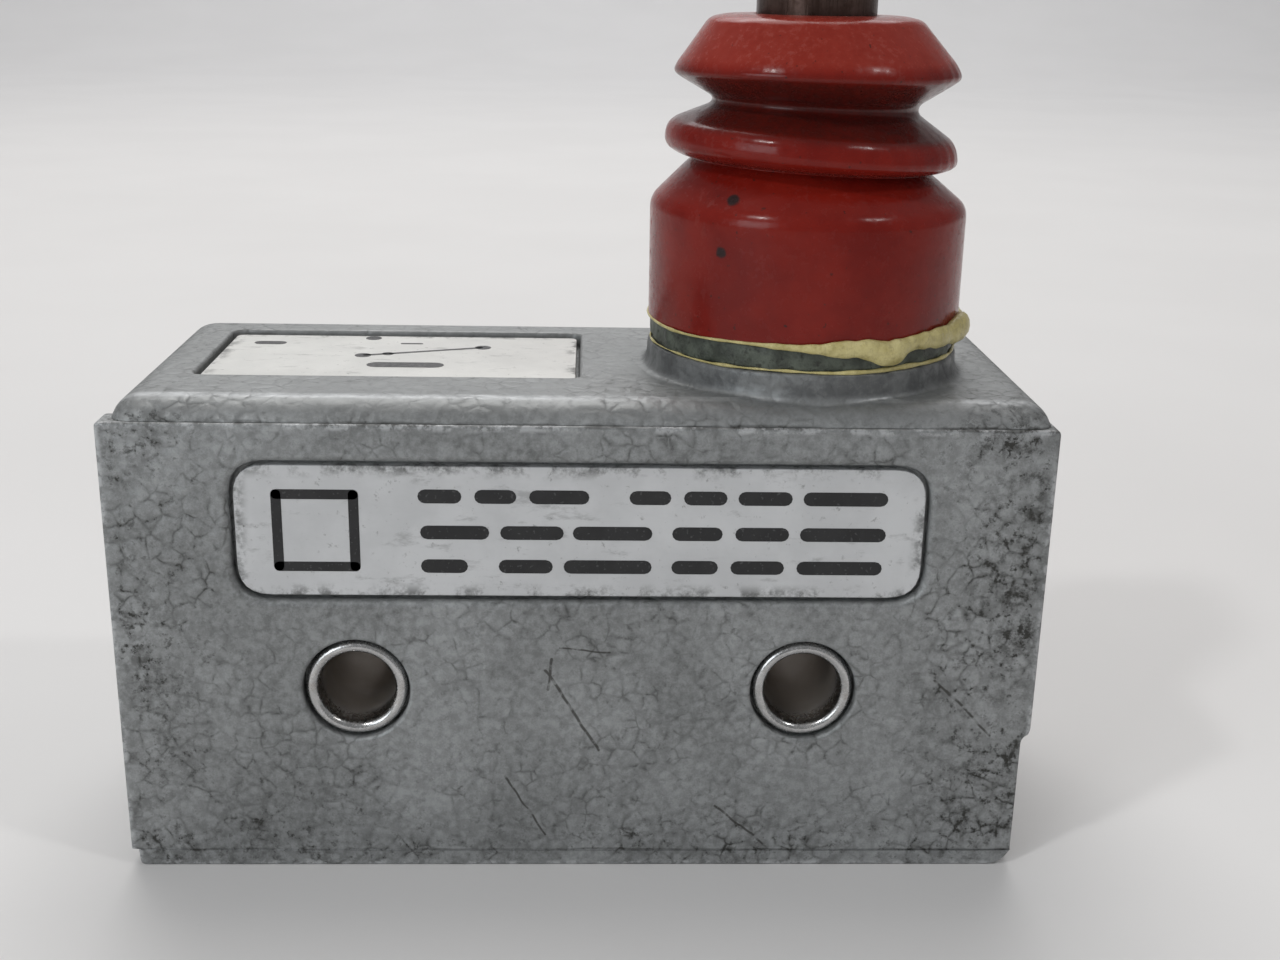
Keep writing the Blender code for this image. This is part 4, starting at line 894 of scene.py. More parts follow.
# ---------------------------------------------------------------------------------------------
# Case
# ---------------------------------------------------------------------------------------------
@dataclass
class Eyelets:
    """The two steel eyelets that go through the whole case, and the stepped holes they sit in."""

    holes: tuple[float, float] = (-12.7, 12.7)
    height: float = 11.23
    bore: float = 2.15
    tube: float = 2.65
    lip: float = 2.90
    face: float = 10.65
    sink: float = 0.17
    mouth: float = 3.03
    pillar: float = 3.9
    lip_height: float = 0.62
    mouth_roll: float = 0.22
    seat_depth: float = 1.2

    def hole_cutter(self, name: str, hole: float, front: float, back: float) -> Piece:
        """Cutter for one stepped hole with a rolled mouth.

        Args:
            name: name of the cutter.
            hole: the hole's X.
            front: the outer face.
            back: how far the hole goes.

        Returns:
            The cutter.
        """
        way = math.copysign(1.0, back - front)
        turn = np.linspace(0.0, math.pi / 2, 7)
        roll = self.mouth_roll
        mouth = np.stack([self.mouth + roll * (1 - np.sin(turn)), front + way * roll * (1 - np.cos(turn))], 1)
        start = np.array([[0.0, front - way], [self.mouth + roll, front - way]])
        inner = self.tube + 0.14
        seat = front + way * self.seat_depth
        rest = np.array([[self.mouth, seat], [inner, seat], [inner, back], [0.0, back]])
        profile = np.concatenate([start, mouth, rest])
        return skin(name, turned(profile, (hole, self.height), Axis.Y, 72))

    def pillar_solid(self, name: str, hole: float, start: float, end: float) -> Piece:
        """Round pillar inside the case behind one hole."""
        profile = np.array([[0.0, start], [self.pillar, start], [self.pillar, end], [0.0, end]])
        return skin(name, turned(profile, (hole, self.height), Axis.Y, 64))

    def build(self, finishes: Finishes) -> None:
        """Build both eyelets. Each is one closed profile turned about Y, with a rolled lip at both ends."""
        end = self.face - self.sink
        roll = self.lip - self.bore
        turn = np.linspace(0.0, math.pi, 15)
        # The lip is a flattened half ellipse from the bore's edge over to the lip's rim.
        rise = self.lip_height * np.sin(turn) ** 0.72
        lip = np.stack([self.bore + roll / 2 * (1 - np.cos(turn)), end - self.lip_height + rise], 1)
        back = np.array([[self.lip, end - 0.85], [self.tube, end - 0.85]])
        half = np.concatenate([lip, back])
        profile = np.concatenate([half, (half * (1.0, -1.0))[::-1]])
        for side, hole in zip(("left", "right"), self.holes):
            item = skin("eyelet_%s" % side, turned(profile, (hole, self.height), Axis.Y, 96), along=True)
            even_shading(item, 40, weighted=False)
            settle(item, "case", finishes.eyelet, "bright_steel", "mounting_eyelet_%s" % side)


@dataclass
class Housing:
    """Die-cast housing: top, back and ends in one shell, with the round boss for the plunger."""

    half_length: float = 25.7
    half_depth: float = 10.65
    bottom: float = 1.03
    top: float = 28.0
    wall: float = 1.8
    lip_bottom: float = 26.86
    front: float = -8.66
    boss_x: float = 13.0
    boss_radius: float = 9.15
    boss_top: float = 29.5
    boss_bore: float = 6.5
    front_edge: float = 2.1
    cavity_back: float = 8.85
    rebate_half: float = 24.9
    rebate_back: float = -7.55
    rebate_top: float = 26.6
    pillar_start: float = 6.35
    hole_end: float = 5.0
    recess_low: tuple[float, float] = (-22.3, -4.35)
    recess_high: tuple[float, float] = (-0.2, 7.35)
    slot_low: tuple[float, float] = (-5.8, 2.0)
    slot_high: tuple[float, float] = (5.8, 7.8)

    def shell(self) -> Piece:
        """The outer block: a rounded outline carried from front to back with rounded end edges.

        The front edge of the top is rounder: the top falls there by r - sqrt(r^2 - d^2), with d the
        distance past the start of the edge. Points below the bottom are lifted to it.
        """
        outline = rounded([(-25.68, -4.0, 1.9), (25.7, -4.0, 1.9), (25.98, self.top, 1.9),
                           (-25.60, self.top, 1.9)], 11)
        offsets, heights = edge_stations(-self.half_depth, self.half_depth, 0.30, 1.6, 9)
        turn = np.linspace(0.0, math.pi / 2, 14)[6:]
        extra = -self.half_depth + self.front_edge * (1 - np.cos(turn))
        heights = np.concatenate([heights[:9], extra, heights[9:]])
        offsets = np.concatenate([offsets[:9], np.zeros(extra.size), offsets[9:]])
        grid = prism(outline, offsets, heights, Axis.Y)
        past = np.clip(-(self.half_depth - self.front_edge) - grid[..., 1], 0.0, self.front_edge)
        fall = self.front_edge - np.sqrt(self.front_edge ** 2 - past ** 2)
        grid[..., 2] -= fall * smoothstep(grid[..., 2], 20.0, 25.9)
        grid[..., 2] = np.maximum(grid[..., 2], self.bottom)
        return skin("housing_shell", grid, caps=True)

    def boss(self) -> Piece:
        """The boss: a turned profile with a fillet at its foot and a rounded rim.

        The fillet is narrower in front, where its foot falls by r - sqrt(r^2 - d^2) to follow the rounded
        edge of the top. Here r is the edge's radius and d the distance past its start.
        """
        radius, top = self.boss_radius, self.boss_top
        profile = rounded([(0.0, self.top - 1.4, 0), (radius + 1.3, self.top - 1.4, 0),
                           (radius + 1.3, self.top - 0.02, 0.05), (radius + 0.08, self.top + 0.02, 1.0),
                           (radius, top, 0.3), (0.0, top, 0)], 8, closed=False)
        grid = turned(profile, (self.boss_x, 0.0), Axis.Z, 128)
        angle, reach = polar(grid, self.boss_x)
        near = smoothstep(-np.sin(angle), 0.45, 0.90)
        reach = np.where(reach > radius, radius + (reach - radius) * (1 - 0.55 * near), reach)
        grid = around(self.boss_x, angle, reach, grid[..., 2])
        past = np.clip(-(self.half_depth - self.front_edge) - grid[..., 1], 0.0, self.front_edge * 0.9)
        fall = self.front_edge - np.sqrt(self.front_edge ** 2 - past ** 2)
        grid[..., 2] -= fall * (1 - smoothstep(grid[..., 2], self.top + 0.1, self.top + 0.9))
        return skin("boss", grid)

    def block(self, name: str, low: tuple[float, float, float], high: tuple[float, float, float]) -> Piece:
        """A plain block used only to hollow the shell."""
        return slab(name, box_outline(low[:2], high[:2], 0.0), low[2], high[2], Axis.Z)

    def build(self, finishes: Finishes, eyelets: Eyelets) -> None:
        """Build, hollow, bore and paint the housing."""
        item = self.shell()
        carve(item, self.boss(), "UNION")
        # The front faces of these blocks lie well outside the shell.
        carve(item, self.block("seat", (-30, -12, -3), (30, self.front, self.lip_bottom)))
        inner = self.half_length - self.wall
        carve(item, self.block("cavity", (-inner, -13, -4), (inner, self.cavity_back, self.top - self.wall)))
        rebate = (self.rebate_half, self.rebate_back, self.rebate_top)
        carve(item, self.block("rebate", (-self.rebate_half, -14, -5), rebate))
        for hole in eyelets.holes:
            pillar_end = self.cavity_back + 0.55
            carve(item, eyelets.pillar_solid("pillar", hole, self.pillar_start, pillar_end), "UNION")
        bore = np.array([[0.0, 24.0], [self.boss_bore, 24.0], [self.boss_bore, 32.0], [0.0, 32.0]])
        carve(item, skin("bore", turned(bore, (self.boss_x, 0.0), Axis.Z, 100)))
        for hole in eyelets.holes:
            carve(item, eyelets.hole_cutter("hole", hole, self.half_depth, self.hole_end))
        recess = box_outline(self.recess_low, self.recess_high, 0.75)
        carve(item, pocket("recess", recess, self.top, 0.9, 0.22, Axis.Z, -1))
        slot = box_outline(self.slot_low, self.slot_high, 1.2)
        carve(item, slab("slot", slot, 22.5, 28.0, Axis.X))
        item.name = item.data.name = "housing_paint_shell"
        even_shading(item)
        paint = HammerPaint((-25.7, -10.65, -4.0), (25.7, 10.65, 28.0), top_shade_stain_and_highlight=True).make("housing_paint")
        settle(item, "case", paint, "paint", "housing")


@dataclass
class FrontCover:
    """Front cover with the label recess, the notch at its lower right and two stepped holes."""

    half_length: float = 26.1
    step: float = 25.6
    front: float = -10.65
    back: float = -8.72
    bottom: float = 1.03
    top: float = 26.84
    pillar_end: float = -7.2
    hole_end: float = -6.0
    label_low: tuple[float, float] = (-19.25, 16.63)
    label_high: tuple[float, float] = (19.25, 24.73)
    scratches: tuple[tuple[float, float, float, float, float], ...] = (
        (-2.02, 12.53, 1.03, 7.5, 0.125), (-1.69, 13.27, -1.91, 11.29, 0.11),
        (20.25, 12.0, 23.73, 8.52, 0.11), (7.91, 3.94, 11.27, 0.95, 0.095),
        (-4.33, 5.88, -2.02, 1.95, 0.09), (-1.18, 13.89, 1.64, 13.66, 0.08),
    )

    def build(self, finishes: Finishes, eyelets: Eyelets) -> None:
        """Build, cut and paint the cover."""
        reach = 0.35
        outline = rounded([
            (-self.half_length, -2.0, reach), (self.step, -2.0, reach),
            (self.step, 8.04, 0.12), (self.step + 0.15, 8.34, 0.12), (self.half_length - 0.1, 8.49, 0.1),
            (self.half_length, 8.84, 0.15), (self.half_length, self.top, 0.3),
            (-self.half_length, self.top, 0.3)])
        offsets, heights = edge_stations(self.front, self.back, 0.17, 0.1, 6)
        grid = prism(outline, offsets, heights, Axis.Y)
        grid[..., 2] = np.maximum(grid[..., 2], self.bottom)
        item = skin("front_cover_panel", grid, caps=True)
        for hole in eyelets.holes:
            carve(item, eyelets.pillar_solid("pillar", hole, self.back - 0.5, self.pillar_end), "UNION")
        for hole in eyelets.holes:
            carve(item, eyelets.hole_cutter("hole", hole, self.front, self.hole_end))
        recess = box_outline(self.label_low, self.label_high, 2.1)
        carve(item, pocket("recess", recess, self.front, 0.9, 0.38, Axis.Y, 1))
        even_shading(item)
        paint = HammerPaint((-26.1, -10.65, -4.0), (26.1, 4.0, 26.8), self.scratches).make("cover_paint")
        settle(item, "case", paint, "paint", "front_cover")


@dataclass
class BottomPlate:
    """Plate that closes the bottom, bevelled at the lower right and round at its two back corners."""

    half_length: float = 25.7
    half_depth: float = 10.65
    thickness: float = 1.01
    back_corner: float = 1.6

    def build(self, finishes: Finishes) -> None:
        """Build the plate: an outline seen from the front, carried from front to back.

        Its two back corners are round, seen from above: the width shrinks by r - sqrt(r^2 - d^2) on each
        side, with d the distance past the start of the corner.
        """
        right = self.half_length
        outline = rounded([(-right + 0.1, 0.0, 0.3), (right - 0.75, 0.0, 0.9),
                           (right - 0.06, self.thickness, 0.12), (-right, self.thickness, 0.12)], 7)
        offsets, heights = edge_stations(-self.half_depth, self.half_depth, 0.08, 0.3, 5)
        extra = self.half_depth - self.back_corner * (1 - np.cos(np.linspace(math.pi / 2, 0.0, 12)[:7]))
        heights = np.concatenate([heights[:5], extra, heights[5:]])
        offsets = np.concatenate([offsets[:5], np.zeros(extra.size), offsets[5:]])
        grid = prism(outline, offsets, heights, Axis.Y)
        past = np.clip(grid[..., 1] - (self.half_depth - self.back_corner), 0.0, self.back_corner)
        inset = self.back_corner - np.sqrt(self.back_corner ** 2 - past ** 2)
        grid[..., 0] *= 1 - inset / self.half_length
        item = skin("bottom_plate_sheet", grid, caps=True)
        even_shading(item)
        paint = HammerPaint((-25.7, -10.65, 0.0), (25.7, 10.65, 5.0)).make("plate_paint")
        settle(item, "case", paint, "paint", "bottom_plate")


@dataclass
class LeadEntry:
    """Rubber bush in the right end wall, with a flange inside and three lead holes."""

    half_wide: float = 5.68
    low: float = 2.12
    high: float = 7.68
    start: float = 23.35
    end: float = 25.98
    hole: float = 1.4
    spacing: float = 3.5

    def build(self, finishes: Finishes) -> None:
        """Build the bush: a rounded block with a crowned outer face, bored three times."""
        outline = box_outline((-self.half_wide, self.low), (self.half_wide, self.high), 1.0)
        item = slab("lead_bush", outline, self.start, self.end, Axis.X, 0.05, 0.55, 7)
        flange = box_outline((-6.4, 1.45), (6.4, 8.4), 0.9)
        carve(item, slab("flange", flange, 22.8, 23.6, Axis.X, 0.15, 0.05, 4), "UNION")
        middle = (self.low + self.high) / 2
        turn = np.linspace(0.0, math.pi / 2, 6)
        mouth = np.stack([self.hole + 0.25 * (1 - np.sin(turn)), self.end - 0.25 * (1 - np.cos(turn))], 1)
        profile = np.concatenate([[[0.0, self.end + 1], [self.hole + 0.25, self.end + 1]], mouth,
                                  [[self.hole, 21.0], [0.0, 21.0]]])
        for shift in (-self.spacing, 0.0, self.spacing):
            carve(item, skin("lead", turned(profile, (shift, middle), Axis.X, 48)))
        even_shading(item)
        settle(item, "case", finishes.black_rubber, "black_rubber", "lead_entry_bush")


@dataclass
class Labels:
    """Rating label on the front and circuit label on the top, with plain printed marks.

    The print is only bars, a square and a contact diagram, so it says nothing.
    """

    ink: float = 0.012
    sunk: float = 0.05
    rating_low: tuple[float, float] = (-19.0, 16.90)
    rating_high: tuple[float, float] = (19.0, 24.46)
    rating_face: float = -10.33
    circuit_low: tuple[float, float] = (-22.05, -4.10)
    circuit_high: tuple[float, float] = (-0.45, 7.10)
    circuit_face: float = 27.72
    line: float = 0.28

    def bars(self) -> list[tuple[float, float, float, float]]:
        """Bars on the front label, each with its two ends, its height and its half height."""
        rows = ((22.73, ((-9.0, -6.6), (-5.9, -3.6), (-2.9, 0.4), (2.6, 4.9), (5.6, 8.0), (8.6, 11.6),
                         (12.2, 16.9))),
                (20.64, ((-8.9, -5.1), (-4.5, -1.0), (-0.5, 3.9), (5.0, 7.8), (8.5, 11.5), (12.1, 16.9))),
                (18.66, ((-8.9, -6.3), (-4.6, -1.6), (-1.0, 3.9), (5.0, 7.6), (8.3, 11.3),
                         (12.0, 16.8))))
        return [(x0, x1, z, 0.40) for z, spans in rows for x0, x1 in spans]

    def strip(self, x0: float, y0: float, x1: float, y1: float, half: float) -> Array:
        """Outline of a bar with rounded ends between two points."""
        way = np.array([x1 - x0, y1 - y0])
        way = way / np.linalg.norm(way)
        turn = np.linspace(-math.pi / 2, math.pi / 2, 7)
        cap = np.stack([np.cos(turn), np.sin(turn)], axis=1) * half
        across = np.array([-way[1], way[0]])
        end = np.array([x1, y1]) - half * way + cap[:, :1] * way + cap[:, 1:] * across
        start = np.array([x0, y0]) + half * way - cap[:, :1] * way - cap[:, 1:] * across
        return np.concatenate([end, start])

    def print_marks(self, name: str, outlines: list[Array], face: float, axis: Axis, out: int) -> Piece:
        """One ink piece from many outlines, each a thin raised slab on the label."""
        start, end = face - out * self.sunk, face + out * self.ink
        return self.merge(name, [slab("%s_%d" % (name, number), outline, start, end, axis)
                                 for number, outline in enumerate(outlines)])

    @staticmethod
    def merge(name: str, parts: list[Piece]) -> Piece:
        """Put several meshes into one piece."""
        data = bmesh.new()
        for part in parts:
            data.from_mesh(part.data)
            bpy.data.objects.remove(part, do_unlink=True)
        mesh = bpy.data.meshes.new(name)
        data.to_mesh(mesh)
        data.free()
        item = bpy.data.objects.new(name, mesh)
        bpy.context.scene.collection.objects.link(item)
        return item

    def disc(self, x: float, y: float, radius: float) -> Array:
        """Outline of a dot."""
        turn = np.arange(24) * (2 * math.pi / 24)
        return np.stack([x + radius * np.cos(turn), y + radius * np.sin(turn)], axis=1)

    def build(self, finishes: Finishes) -> None:
        """Build both labels and their print."""
        outline = box_outline(self.rating_low, self.rating_high, 1.8)
        item = slab("rating_plate", outline, self.rating_face, -9.77, Axis.Y, 0.06, 0.0, 4)
        even_shading(item)
        foil = Foil((0.66, 0.665, 0.67), (0.55, 0.555, 0.56), 0.12, self.rating_low, self.rating_high)
        settle(item, "case", foil.make("rating_foil"), "silver_label", "rating_label")
        marks = [self.strip(x0, z, x1, z, half) for x0, x1, z, half in self.bars()]
        frame = ((-16.7, 18.6), (-12.5, 18.6), (-12.5, 22.8), (-16.7, 22.8))
        for (x0, z0), (x1, z1) in zip(frame, frame[1:] + frame[:1]):
            way = self.line * np.sign([x1 - x0, z1 - z0])
            marks.append(self.strip(x0 - way[0], z0 - way[1], x1 + way[0], z1 + way[1], self.line))
        ink = self.print_marks("rating_print", marks, self.rating_face, Axis.Y, -1)
        settle(ink, "case", finishes.ink, "silver_label")

        outline = box_outline(self.circuit_low, self.circuit_high, 0.5)
        item = slab("circuit_plate", outline, 27.12, self.circuit_face, Axis.Z, 0.0, 0.05, 4)
        even_shading(item)
        foil = Foil((0.69, 0.685, 0.655), (0.58, 0.575, 0.55), 0.0, self.circuit_low, self.circuit_high,
                    Axis.Z)
        settle(item, "case", foil.make("circuit_foil"), "white_label", "circuit_label")
        marks = [self.disc(-6.28, 4.14, 0.50), self.disc(-13.42, 1.77, 0.50), self.disc(-13.36, 6.46, 0.50),
                 self.disc(-11.96, 2.23, 0.36), self.strip(-6.28, 4.14, -11.96, 2.23, 0.16),
                 self.strip(-11.96, 2.23, -13.42, 1.77, 0.16), self.strip(-11.5, 5.03, -10.1, 5.03, 0.14),
                 self.strip(-12.9, -0.6, -8.3, -0.6, 0.62), self.strip(-20.6, 4.9, -18.6, 4.9, 0.42)]
        ink = self.print_marks("circuit_print", marks, self.circuit_face, Axis.Z, 1)
        settle(ink, "case", finishes.ink, "white_label")


# ---------------------------------------------------------------------------------------------
# Plunger group
# ---------------------------------------------------------------------------------------------
@dataclass
class Boot:
    """Red rubber boot: a plain skirt and two convolutions that lean a little to the right."""

    x: float = 13.0
    base: float = 30.9
    top: float = 48.15
    skirt: float = 9.2
    lean: float = 0.062
    lean_height: float = 41.3
    shift: float = 0.17
    fixed_below: float = 37.8
    fixed_above: float = 47.0

    def profile(self) -> Array:
        """The closed section, from the foot of the skirt up the outside and down the inside."""
        b = self.base
        return rounded([
            (self.skirt, b, 0.16), (self.skirt, b + 6.85, 0.55), (7.20, b + 8.70, 0.4),
            (6.75, b + 9.02, 0.14), (7.70, b + 9.20, 0.3), (8.50, b + 9.62, 0.50),
            (8.30, b + 10.85, 0.65), (5.92, b + 12.15, 0.35), (5.92, b + 12.60, 0.35),
            (7.75, b + 13.70, 0.30), (8.22, b + 14.05, 0.32), (7.95, b + 14.65, 0.35),
            (6.02, self.top - 0.22, 0.36),
            (5.0, self.top, 0.5), (3.62, self.top, 0.18),
            (3.62, self.top - 0.9, 0.1), (4.8, self.top - 0.9, 0.2), (7.0, b + 14.1, 0.4),
            (5.0, b + 12.35, 0.3), (7.3, b + 10.2, 0.4), (5.9, b + 9.0, 0.3),
            (8.0, b + 6.3, 0.3), (8.0, b, 0.1)], 8)

    def build(self, finishes: Finishes) -> None:
        """Build the boot: the section turned about the plunger, then leaned and made uneven.

        Heights drop by the distance to the right times lean e^-((z - 41.3) / 2.2)^2, so that only the
        lower convolution leans. The upper one stands `shift` to the right of the skirt.
        Radii gain small sums of sines round the boot, which stand for the moulding's flash and sag.
        """
        grid = turned(self.profile(), (self.x, 0.0), Axis.Z, 160)
        angle, radius = polar(grid, self.x)
        z = grid[..., 2].copy()
        free = smoothstep(z, self.base + 6.6, self.base + 9.0) * (1 - smoothstep(z, self.top - 2.6, self.top))
        tilt = self.lean * np.exp(-(((z - self.lean_height) / 2.2) ** 2))
        middle = self.x + self.shift * smoothstep(z, 41.0, 44.0) * (1 - smoothstep(z, 45.8, 47.2))
        rim = smoothstep(radius, 7.2, 8.2) * free
        waver = 0.030 * np.sin(2 * angle + 0.6) + 0.018 * np.sin(5 * angle + 1.9)
        ragged = 0.022 * np.sin(13 * angle + 1.0) * np.sin(29 * angle) + 0.012 * np.sin(41 * angle)
        foot = (1 - smoothstep(z, self.base, self.base + 1.6)) * smoothstep(radius, 8.6, 9.1)
        radius = radius + waver * free - 0.02 + ragged * rim - foot * 0.05 * (1 + np.sin(7 * angle + 0.5))
        drop = tilt * (grid[..., 0] - self.x) + 0.05 * free * np.sin(2 * angle + 2.2)
        item = skin("boot_rubber", around(middle, angle, radius, z - drop), along=True)
        even_shading(item, 50, weighted=False)
        rubber = BootRubber(marks=((7.46, -7.3, 35.8, 0.40), (8.05, -6.75, 38.6, 0.46),
                                   (19.1, -6.6, 32.5, 0.12), (10.9, -8.9, 32.1, 0.10)))
        settle(item, "", rubber.make("boot_red_rubber"), "red_rubber", "boot")
        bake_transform(item)


@dataclass
class BootSeal:
    """Cement between the boss and the boot, and the sealing compound squeezed out round it."""

    x: float = 13.0
    boss_top: float = 29.5
    boot_base: float = 30.9

    def band(self, finishes: Finishes) -> None:
        """The cement ring: a turned section whose outside wavers by small sines."""
        section = rounded([(7.7, self.boss_top - 0.01, 0.05), (8.92, self.boss_top - 0.01, 0.2),
                           (8.98, 30.2, 0.4), (8.94, self.boot_base + 0.03, 0.2),
                           (7.7, self.boot_base + 0.03, 0.05)], 5)
        grid = turned(section, (self.x, 0.0), Axis.Z, 160)
        angle, radius = polar(grid, self.x)
        push = 0.04 * np.sin(9 * angle) + 0.035 * np.sin(23 * angle + 1.0) + 0.03 * np.sin(37 * angle + 2.0)
        radius = radius + push * smoothstep(radius, 8.2, 8.8)
        item = skin("boot_cement", around(self.x, angle, radius, grid[..., 2]), along=True)
        even_shading(item, 50, weighted=False)
        cement = Compound((0.105, 0.122, 0.095), (0.038, 0.045, 0.034), (0.018, 0.018, 0.014), 0.40, 0.50,
                          0.10)
        settle(item, "case", cement.make("green_cement"), "adhesive", "boot_adhesive_band")

    def bead(self, name: str, centre: Array, wide: Array, tall: Array) -> Piece:
        """A ring of compound: an ellipse carried round the boss, its size changing on the way."""
        return skin(name, tube(centre, wide, tall, 14, closed=True), along=True)

    def build(self, finishes: Finishes) -> None:
        """Build the cement, the upper bead with its thick part and drip, and the thin lower bead."""
        self.band(finishes)
        steps = 420
        degrees = np.linspace(-180.0, 180.0, steps, endpoint=False)
        turn = np.radians(degrees)
        thick = smoothstep(degrees, -118.0, -70.0) * (1 - smoothstep(degrees, 4.0, 40.0))
        blob = np.exp(-((degrees + 22.0) / 11.0) ** 2)
        drip = np.exp(-((degrees + 66.0) / 6.5) ** 2)
        uneven = (0.5 + 0.22 * np.sin(9 * turn + 0.7) + 0.16 * np.sin(17 * turn + 2.0)
                  + 0.12 * np.sin(33 * turn) + 0.08 * np.sin(57 * turn + 1.0))
        tall = 0.055 + 0.05 * uneven + thick * (0.34 + 0.20 * uneven) + 0.26 * blob + 0.16 * drip
        wide = 0.055 + 0.03 * uneven + thick * (0.14 + 0.10 * uneven) + 0.26 * blob + 0.10 * drip
        radius = 9.16 + 0.35 * wide + 0.10 * blob
        height = 30.95 + 0.02 * thick + 0.16 * blob - 0.42 * drip + 0.05 * np.sin(6 * turn + 1.1)
        path = around(self.x, turn, radius, height)
        item = self.bead("sealant_upper_bead", path, wide, tall)
        even_shading(item, 60, weighted=False)
        compound = Compound((0.66, 0.58, 0.27), (0.47, 0.40, 0.155), (0.20, 0.16, 0.08), 0.16, 0.36, 0.16)
        yellow = compound.make("pale_compound")
        settle(item, "case", yellow, "sealant", "sealant_bead")
        size = 0.05 + 0.025 * np.sin(11 * turn + 0.4) * np.sin(5 * turn) + 0.012 * np.sin(31 * turn)
        size = size + 0.05 * thick
        radius = 9.00 + 0.02 * np.sin(8 * turn)
        height = self.boss_top + 0.05 + 0.03 * np.sin(7 * turn + 2.0)
        path = around(self.x, turn, radius, height + size * 0.4)
        lower = self.bead("sealant_lower_bead", path, size, size * 1.2)
        even_shading(lower, 60, weighted=False)
        settle(lower, "case", yellow, "sealant")


@dataclass
class Plunger:
    """Hardened steel plunger with a worn, slightly domed tip, bored below for the inner spring."""

    x: float = 13.0
    radius: float = 3.4
    bottom: float = 28.0
    tip: float = 54.0
    bore: float = 2.2
    bore_top: float = 37.8

    def build(self, finishes: Finishes) -> None:
        """Build the plunger as one turned section with two ring grooves."""
        r, groove = self.radius, self.radius - 0.4
        section = rounded([
            (0.0, self.bore_top, 0), (self.bore, self.bore_top, 0.2), (self.bore, self.bottom, 0.05),
            (r - 0.2, self.bottom, 0.05), (r, self.bottom + 0.25, 0.1), (r, 28.4, 0.04), (groove, 28.4, 0.05),
            (groove, 29.8, 0.05), (r, 29.8, 0.04), (r, 44.85, 0.04), (groove, 44.85, 0.05),
            (groove, 46.25, 0.05), (r, 46.25, 0.04), (r, self.tip - 0.55, 0.5),
            (r - 0.62, self.tip - 0.06, 0.4), (0.0, self.tip, 0)], 7, closed=False)
        item = skin("plunger_pin", turned(section, (self.x, 0.0), Axis.Z, 128))
        even_shading(item, 35, weighted=False)
        settle(item, "plunger", finishes.dark_steel, "dark_steel", "plunger")


@dataclass
class Spring:
    """Compression spring of round wire with closed end turns."""

    name: str
    node: str
    radius: float
    wire: float
    bottom: float
    top: float
    turns: float
    keep: float
    x: float = 13.0

    def build(self, finishes: Finishes) -> None:
        """Build the spring and give it a mesh of its own.

        The centre line is a helix whose pitch is one wire in the end turns and wider between:
        height = integral of the pitch over the angle, scaled to the spring's free length.
        """
        steps = int(self.turns * 44)
        share = np.linspace(0.0, 1.0, steps)
        lap = share * self.turns
        open_part = smoothstep(lap, 0.55, 1.15) * (1 - smoothstep(lap, self.turns - 1.15, self.turns - 0.55))
        length = self.top - self.bottom - self.wire
        closed_rate = self.wire * 1.02
        rise = np.full(steps, closed_rate)
        rest = length - closed_rate * self.turns
        rise = rise + open_part * rest / (open_part.mean() * self.turns)
        height = np.concatenate([[0.0], np.cumsum((rise[1:] + rise[:-1]) / 2)]) * self.turns / (steps - 1)
        height = height / height[-1] * length
        turn = 2 * math.pi * lap
        path = around(self.x, turn, self.radius, self.bottom + self.wire / 2 + height)
        half = np.full(steps, self.wire / 2)
        item = skin(self.name, tube(path, half, half, 12), caps=True)
        even_shading(item, 60, weighted=False)
        settle(item, "case", finishes.spring, "spring_steel", self.node)
        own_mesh(item)


class Interior:
    """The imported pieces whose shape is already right: each gets its real finish."""

    def dress(self, finishes: Finishes, nodes: dict[str, Piece]) -> None:
        """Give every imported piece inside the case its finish.

        Args:
            finishes: the shared materials.
            nodes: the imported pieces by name.
        """
        groups = {
            "brass": (finishes.brass, ("plunger_bushing", "overtravel_seat", "common_terminal",
                                       "nc_terminal", "no_terminal", "blade_anchor")),
            "bronze": (finishes.bronze, ("contact_blade", "snap_spring")),
            "silver": (finishes.silver, ("nc_contact", "no_contact", "moving_contact")),
            "spring steel": (finishes.spring, ("bushing_retaining_ring", "plunger_stop_ring",
                                               "return_spring_ring")),
            "bright steel": (finishes.bright_steel, tuple(
                "terminal_%s_%s" % (kind, pole) for kind in ("screw", "washer")
                for pole in ("common", "nc", "no"))),
            "phenolic": (finishes.phenolic, ("switch_pin", "switch_base", "switch_base_cover")),
            "fibre": (finishes.fibre, ("insulating_liner",)),
            "rubber": (finishes.black_rubber, ("cover_gasket",)),
        }
        for label, (material, names) in groups.items():
            for name in names:
                for place in nodes[name].material_slots:
                    place.material = material
            LOG.info("%s: %d packed pieces", label, len(names))


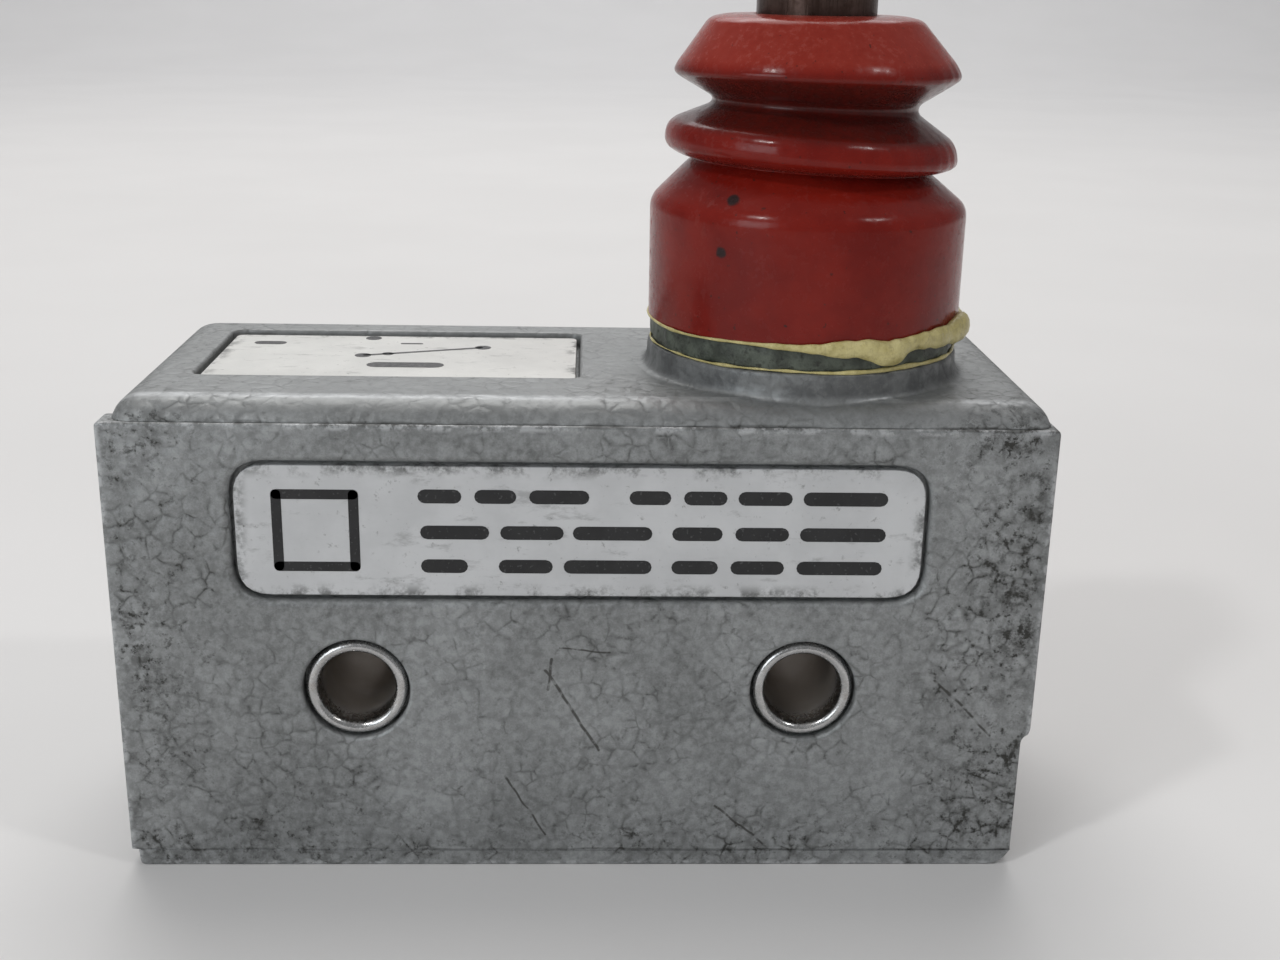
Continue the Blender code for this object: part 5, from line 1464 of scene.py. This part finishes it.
# ---------------------------------------------------------------------------------------------
# Studio
# ---------------------------------------------------------------------------------------------
@dataclass
class Studio:
    """Pale paper sweep, soft overhead light and the camera."""

    lens: float = 44.1
    place: tuple[float, float, float] = (0.117, -91.948, 50.015)
    tilt: float = 17.814
    heading: float = 2.133
    roll: float = -1.119
    room: Colour = (0.98, 0.985, 1.0)
    room_strength: float = 0.29

    def sweep(self) -> None:
        """Paper: flat on the table, then a quarter circle up at the back. One profile carried along X."""
        turn = np.linspace(0.0, math.pi / 2, 24)
        curve = np.stack([700.0 + 500.0 * np.sin(turn), 500.0 * (1 - np.cos(turn))], 1)
        line = np.concatenate([[[-1600.0, 0.0]], curve, [[1200.0, 1900.0]]])
        across = np.linspace(-4500.0, 4500.0, 9)
        y, x = np.meshgrid(line[:, 0], across, indexing="ij")
        grid = np.stack([x, y, np.broadcast_to(line[:, 1:] - 0.02, x.shape)], axis=-1)
        floor = skin("paper_sweep", grid, around=False)
        even_shading(floor, 60, weighted=False)
        g = Graph("paper")
        tone = g.ramp(g.noise(0.02, 3.0), 0.3, 0.7)
        g.set(Base_Color=g.mix(tone, (0.695, 0.683, 0.676), (0.713, 0.701, 0.694)), Roughness=0.85,
              Specular_IOR_Level=0.15, Normal=g.bump(g.noise(1.2, 3.0), 0.01))
        floor.data.materials.append(g.material)

    def lamp(self, name: str, at: tuple[float, float, float], size: float, power: float,
             colour: Colour, aim: tuple[float, float, float] = (0.0, 0.0, 20.0)) -> None:
        """Square soft light.

        Args:
            name: the light's name.
            at: its place.
            size: its side.
            power: its power in watts.
            colour: its colour.
            aim: the point that it faces.
        """
        data = bpy.data.lights.new(name, "AREA")
        data.size = size * MM
        data.energy = power
        data.color = colour
        item = bpy.data.objects.new(name, data)
        item.location = tuple(part * MM for part in at)
        away = np.array(at, float) - aim
        item.rotation_mode = "XYZ"
        item.rotation_euler = (math.acos(away[2] / np.linalg.norm(away)), 0.0,
                               math.atan2(away[1], away[0]) + math.pi / 2)
        bpy.context.scene.collection.objects.link(item)

    def camera(self) -> None:
        """Camera from its tilt, heading and roll: the columns of its matrix are right, up and back."""
        th, ps, ro = (math.radians(angle) for angle in (self.tilt, self.heading, self.roll))
        forward = np.array([math.sin(ps) * math.cos(th), math.cos(ps) * math.cos(th), -math.sin(th)])

        def turn(x: float, z: float) -> Array:
            """Tilt and turn a level direction."""
            y, z = math.sin(th) * z, math.cos(th) * z
            return np.array([math.cos(ps) * x + math.sin(ps) * y, -math.sin(ps) * x + math.cos(ps) * y, z])

        right, up = turn(math.cos(ro), -math.sin(ro)), turn(math.sin(ro), math.cos(ro))
        data = bpy.data.cameras.new("view")
        data.lens = self.lens
        data.sensor_width = 36.0
        data.clip_start, data.clip_end = 0.002, 20.0
        item = bpy.data.objects.new("view", data)
        matrix = np.eye(4)
        matrix[:3, 0], matrix[:3, 1], matrix[:3, 2] = right, up, -forward
        matrix[:3, 3] = np.array(self.place) * MM
        item.matrix_world = Matrix(matrix.tolist())
        bpy.context.scene.collection.objects.link(item)
        bpy.context.scene.camera = item

    def build(self) -> None:
        """Build the sweep, the lights, the surrounding brightness and the camera."""
        self.camera()
        self.sweep()
        self.lamp("overhead", (-40, 270, 560), 420, 1.70, (1.0, 0.985, 0.96))
        self.lamp("window", (-215, -225, 120), 150, 0.23, (0.88, 0.95, 1.0))
        self.lamp("spot_left", (-235, -210, 390), 34, 0.34, (1.0, 1.0, 1.0))
        self.lamp("spot_right", (264, -145, 390), 34, 0.22, (1.0, 1.0, 1.0))
        self.lamp("backdrop", (0, 1000, 700), 1000, 5.6, (0.96, 0.975, 1.0), (0.0, 880.0, 0.0))
        world = bpy.data.worlds.new("room")
        world.use_nodes = True
        shade = world.node_tree.nodes["Background"]
        shade.inputs["Color"].default_value = (*self.room, 1.0)
        shade.inputs["Strength"].default_value = self.room_strength
        bpy.context.scene.world = world
        bpy.context.scene.view_settings.view_transform = "Standard"


def main() -> None:
    """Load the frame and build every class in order."""
    logging.basicConfig(level=logging.INFO, format="%(message)s")
    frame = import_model()
    Studio().build()
    finishes = Finishes()
    eyelets = Eyelets()
    Housing().build(finishes, eyelets)
    FrontCover().build(finishes, eyelets)
    BottomPlate().build(finishes)
    eyelets.build(finishes)
    LeadEntry().build(finishes)
    Labels().build(finishes)
    Boot().build(finishes)
    BootSeal().build(finishes)
    Plunger().build(finishes)
    Spring("return_spring_coil", "return_spring", 4.3, 0.8, 34.3, 44.85, 5, 0.479).build(finishes)
    Spring("overtravel_spring_coil", "overtravel_spring", 1.6, 0.5, 23.95, 37.5, 9, 0.594).build(finishes)
    Interior().dress(finishes, frame["nodes"])


if __name__ == "__main__":
    main()
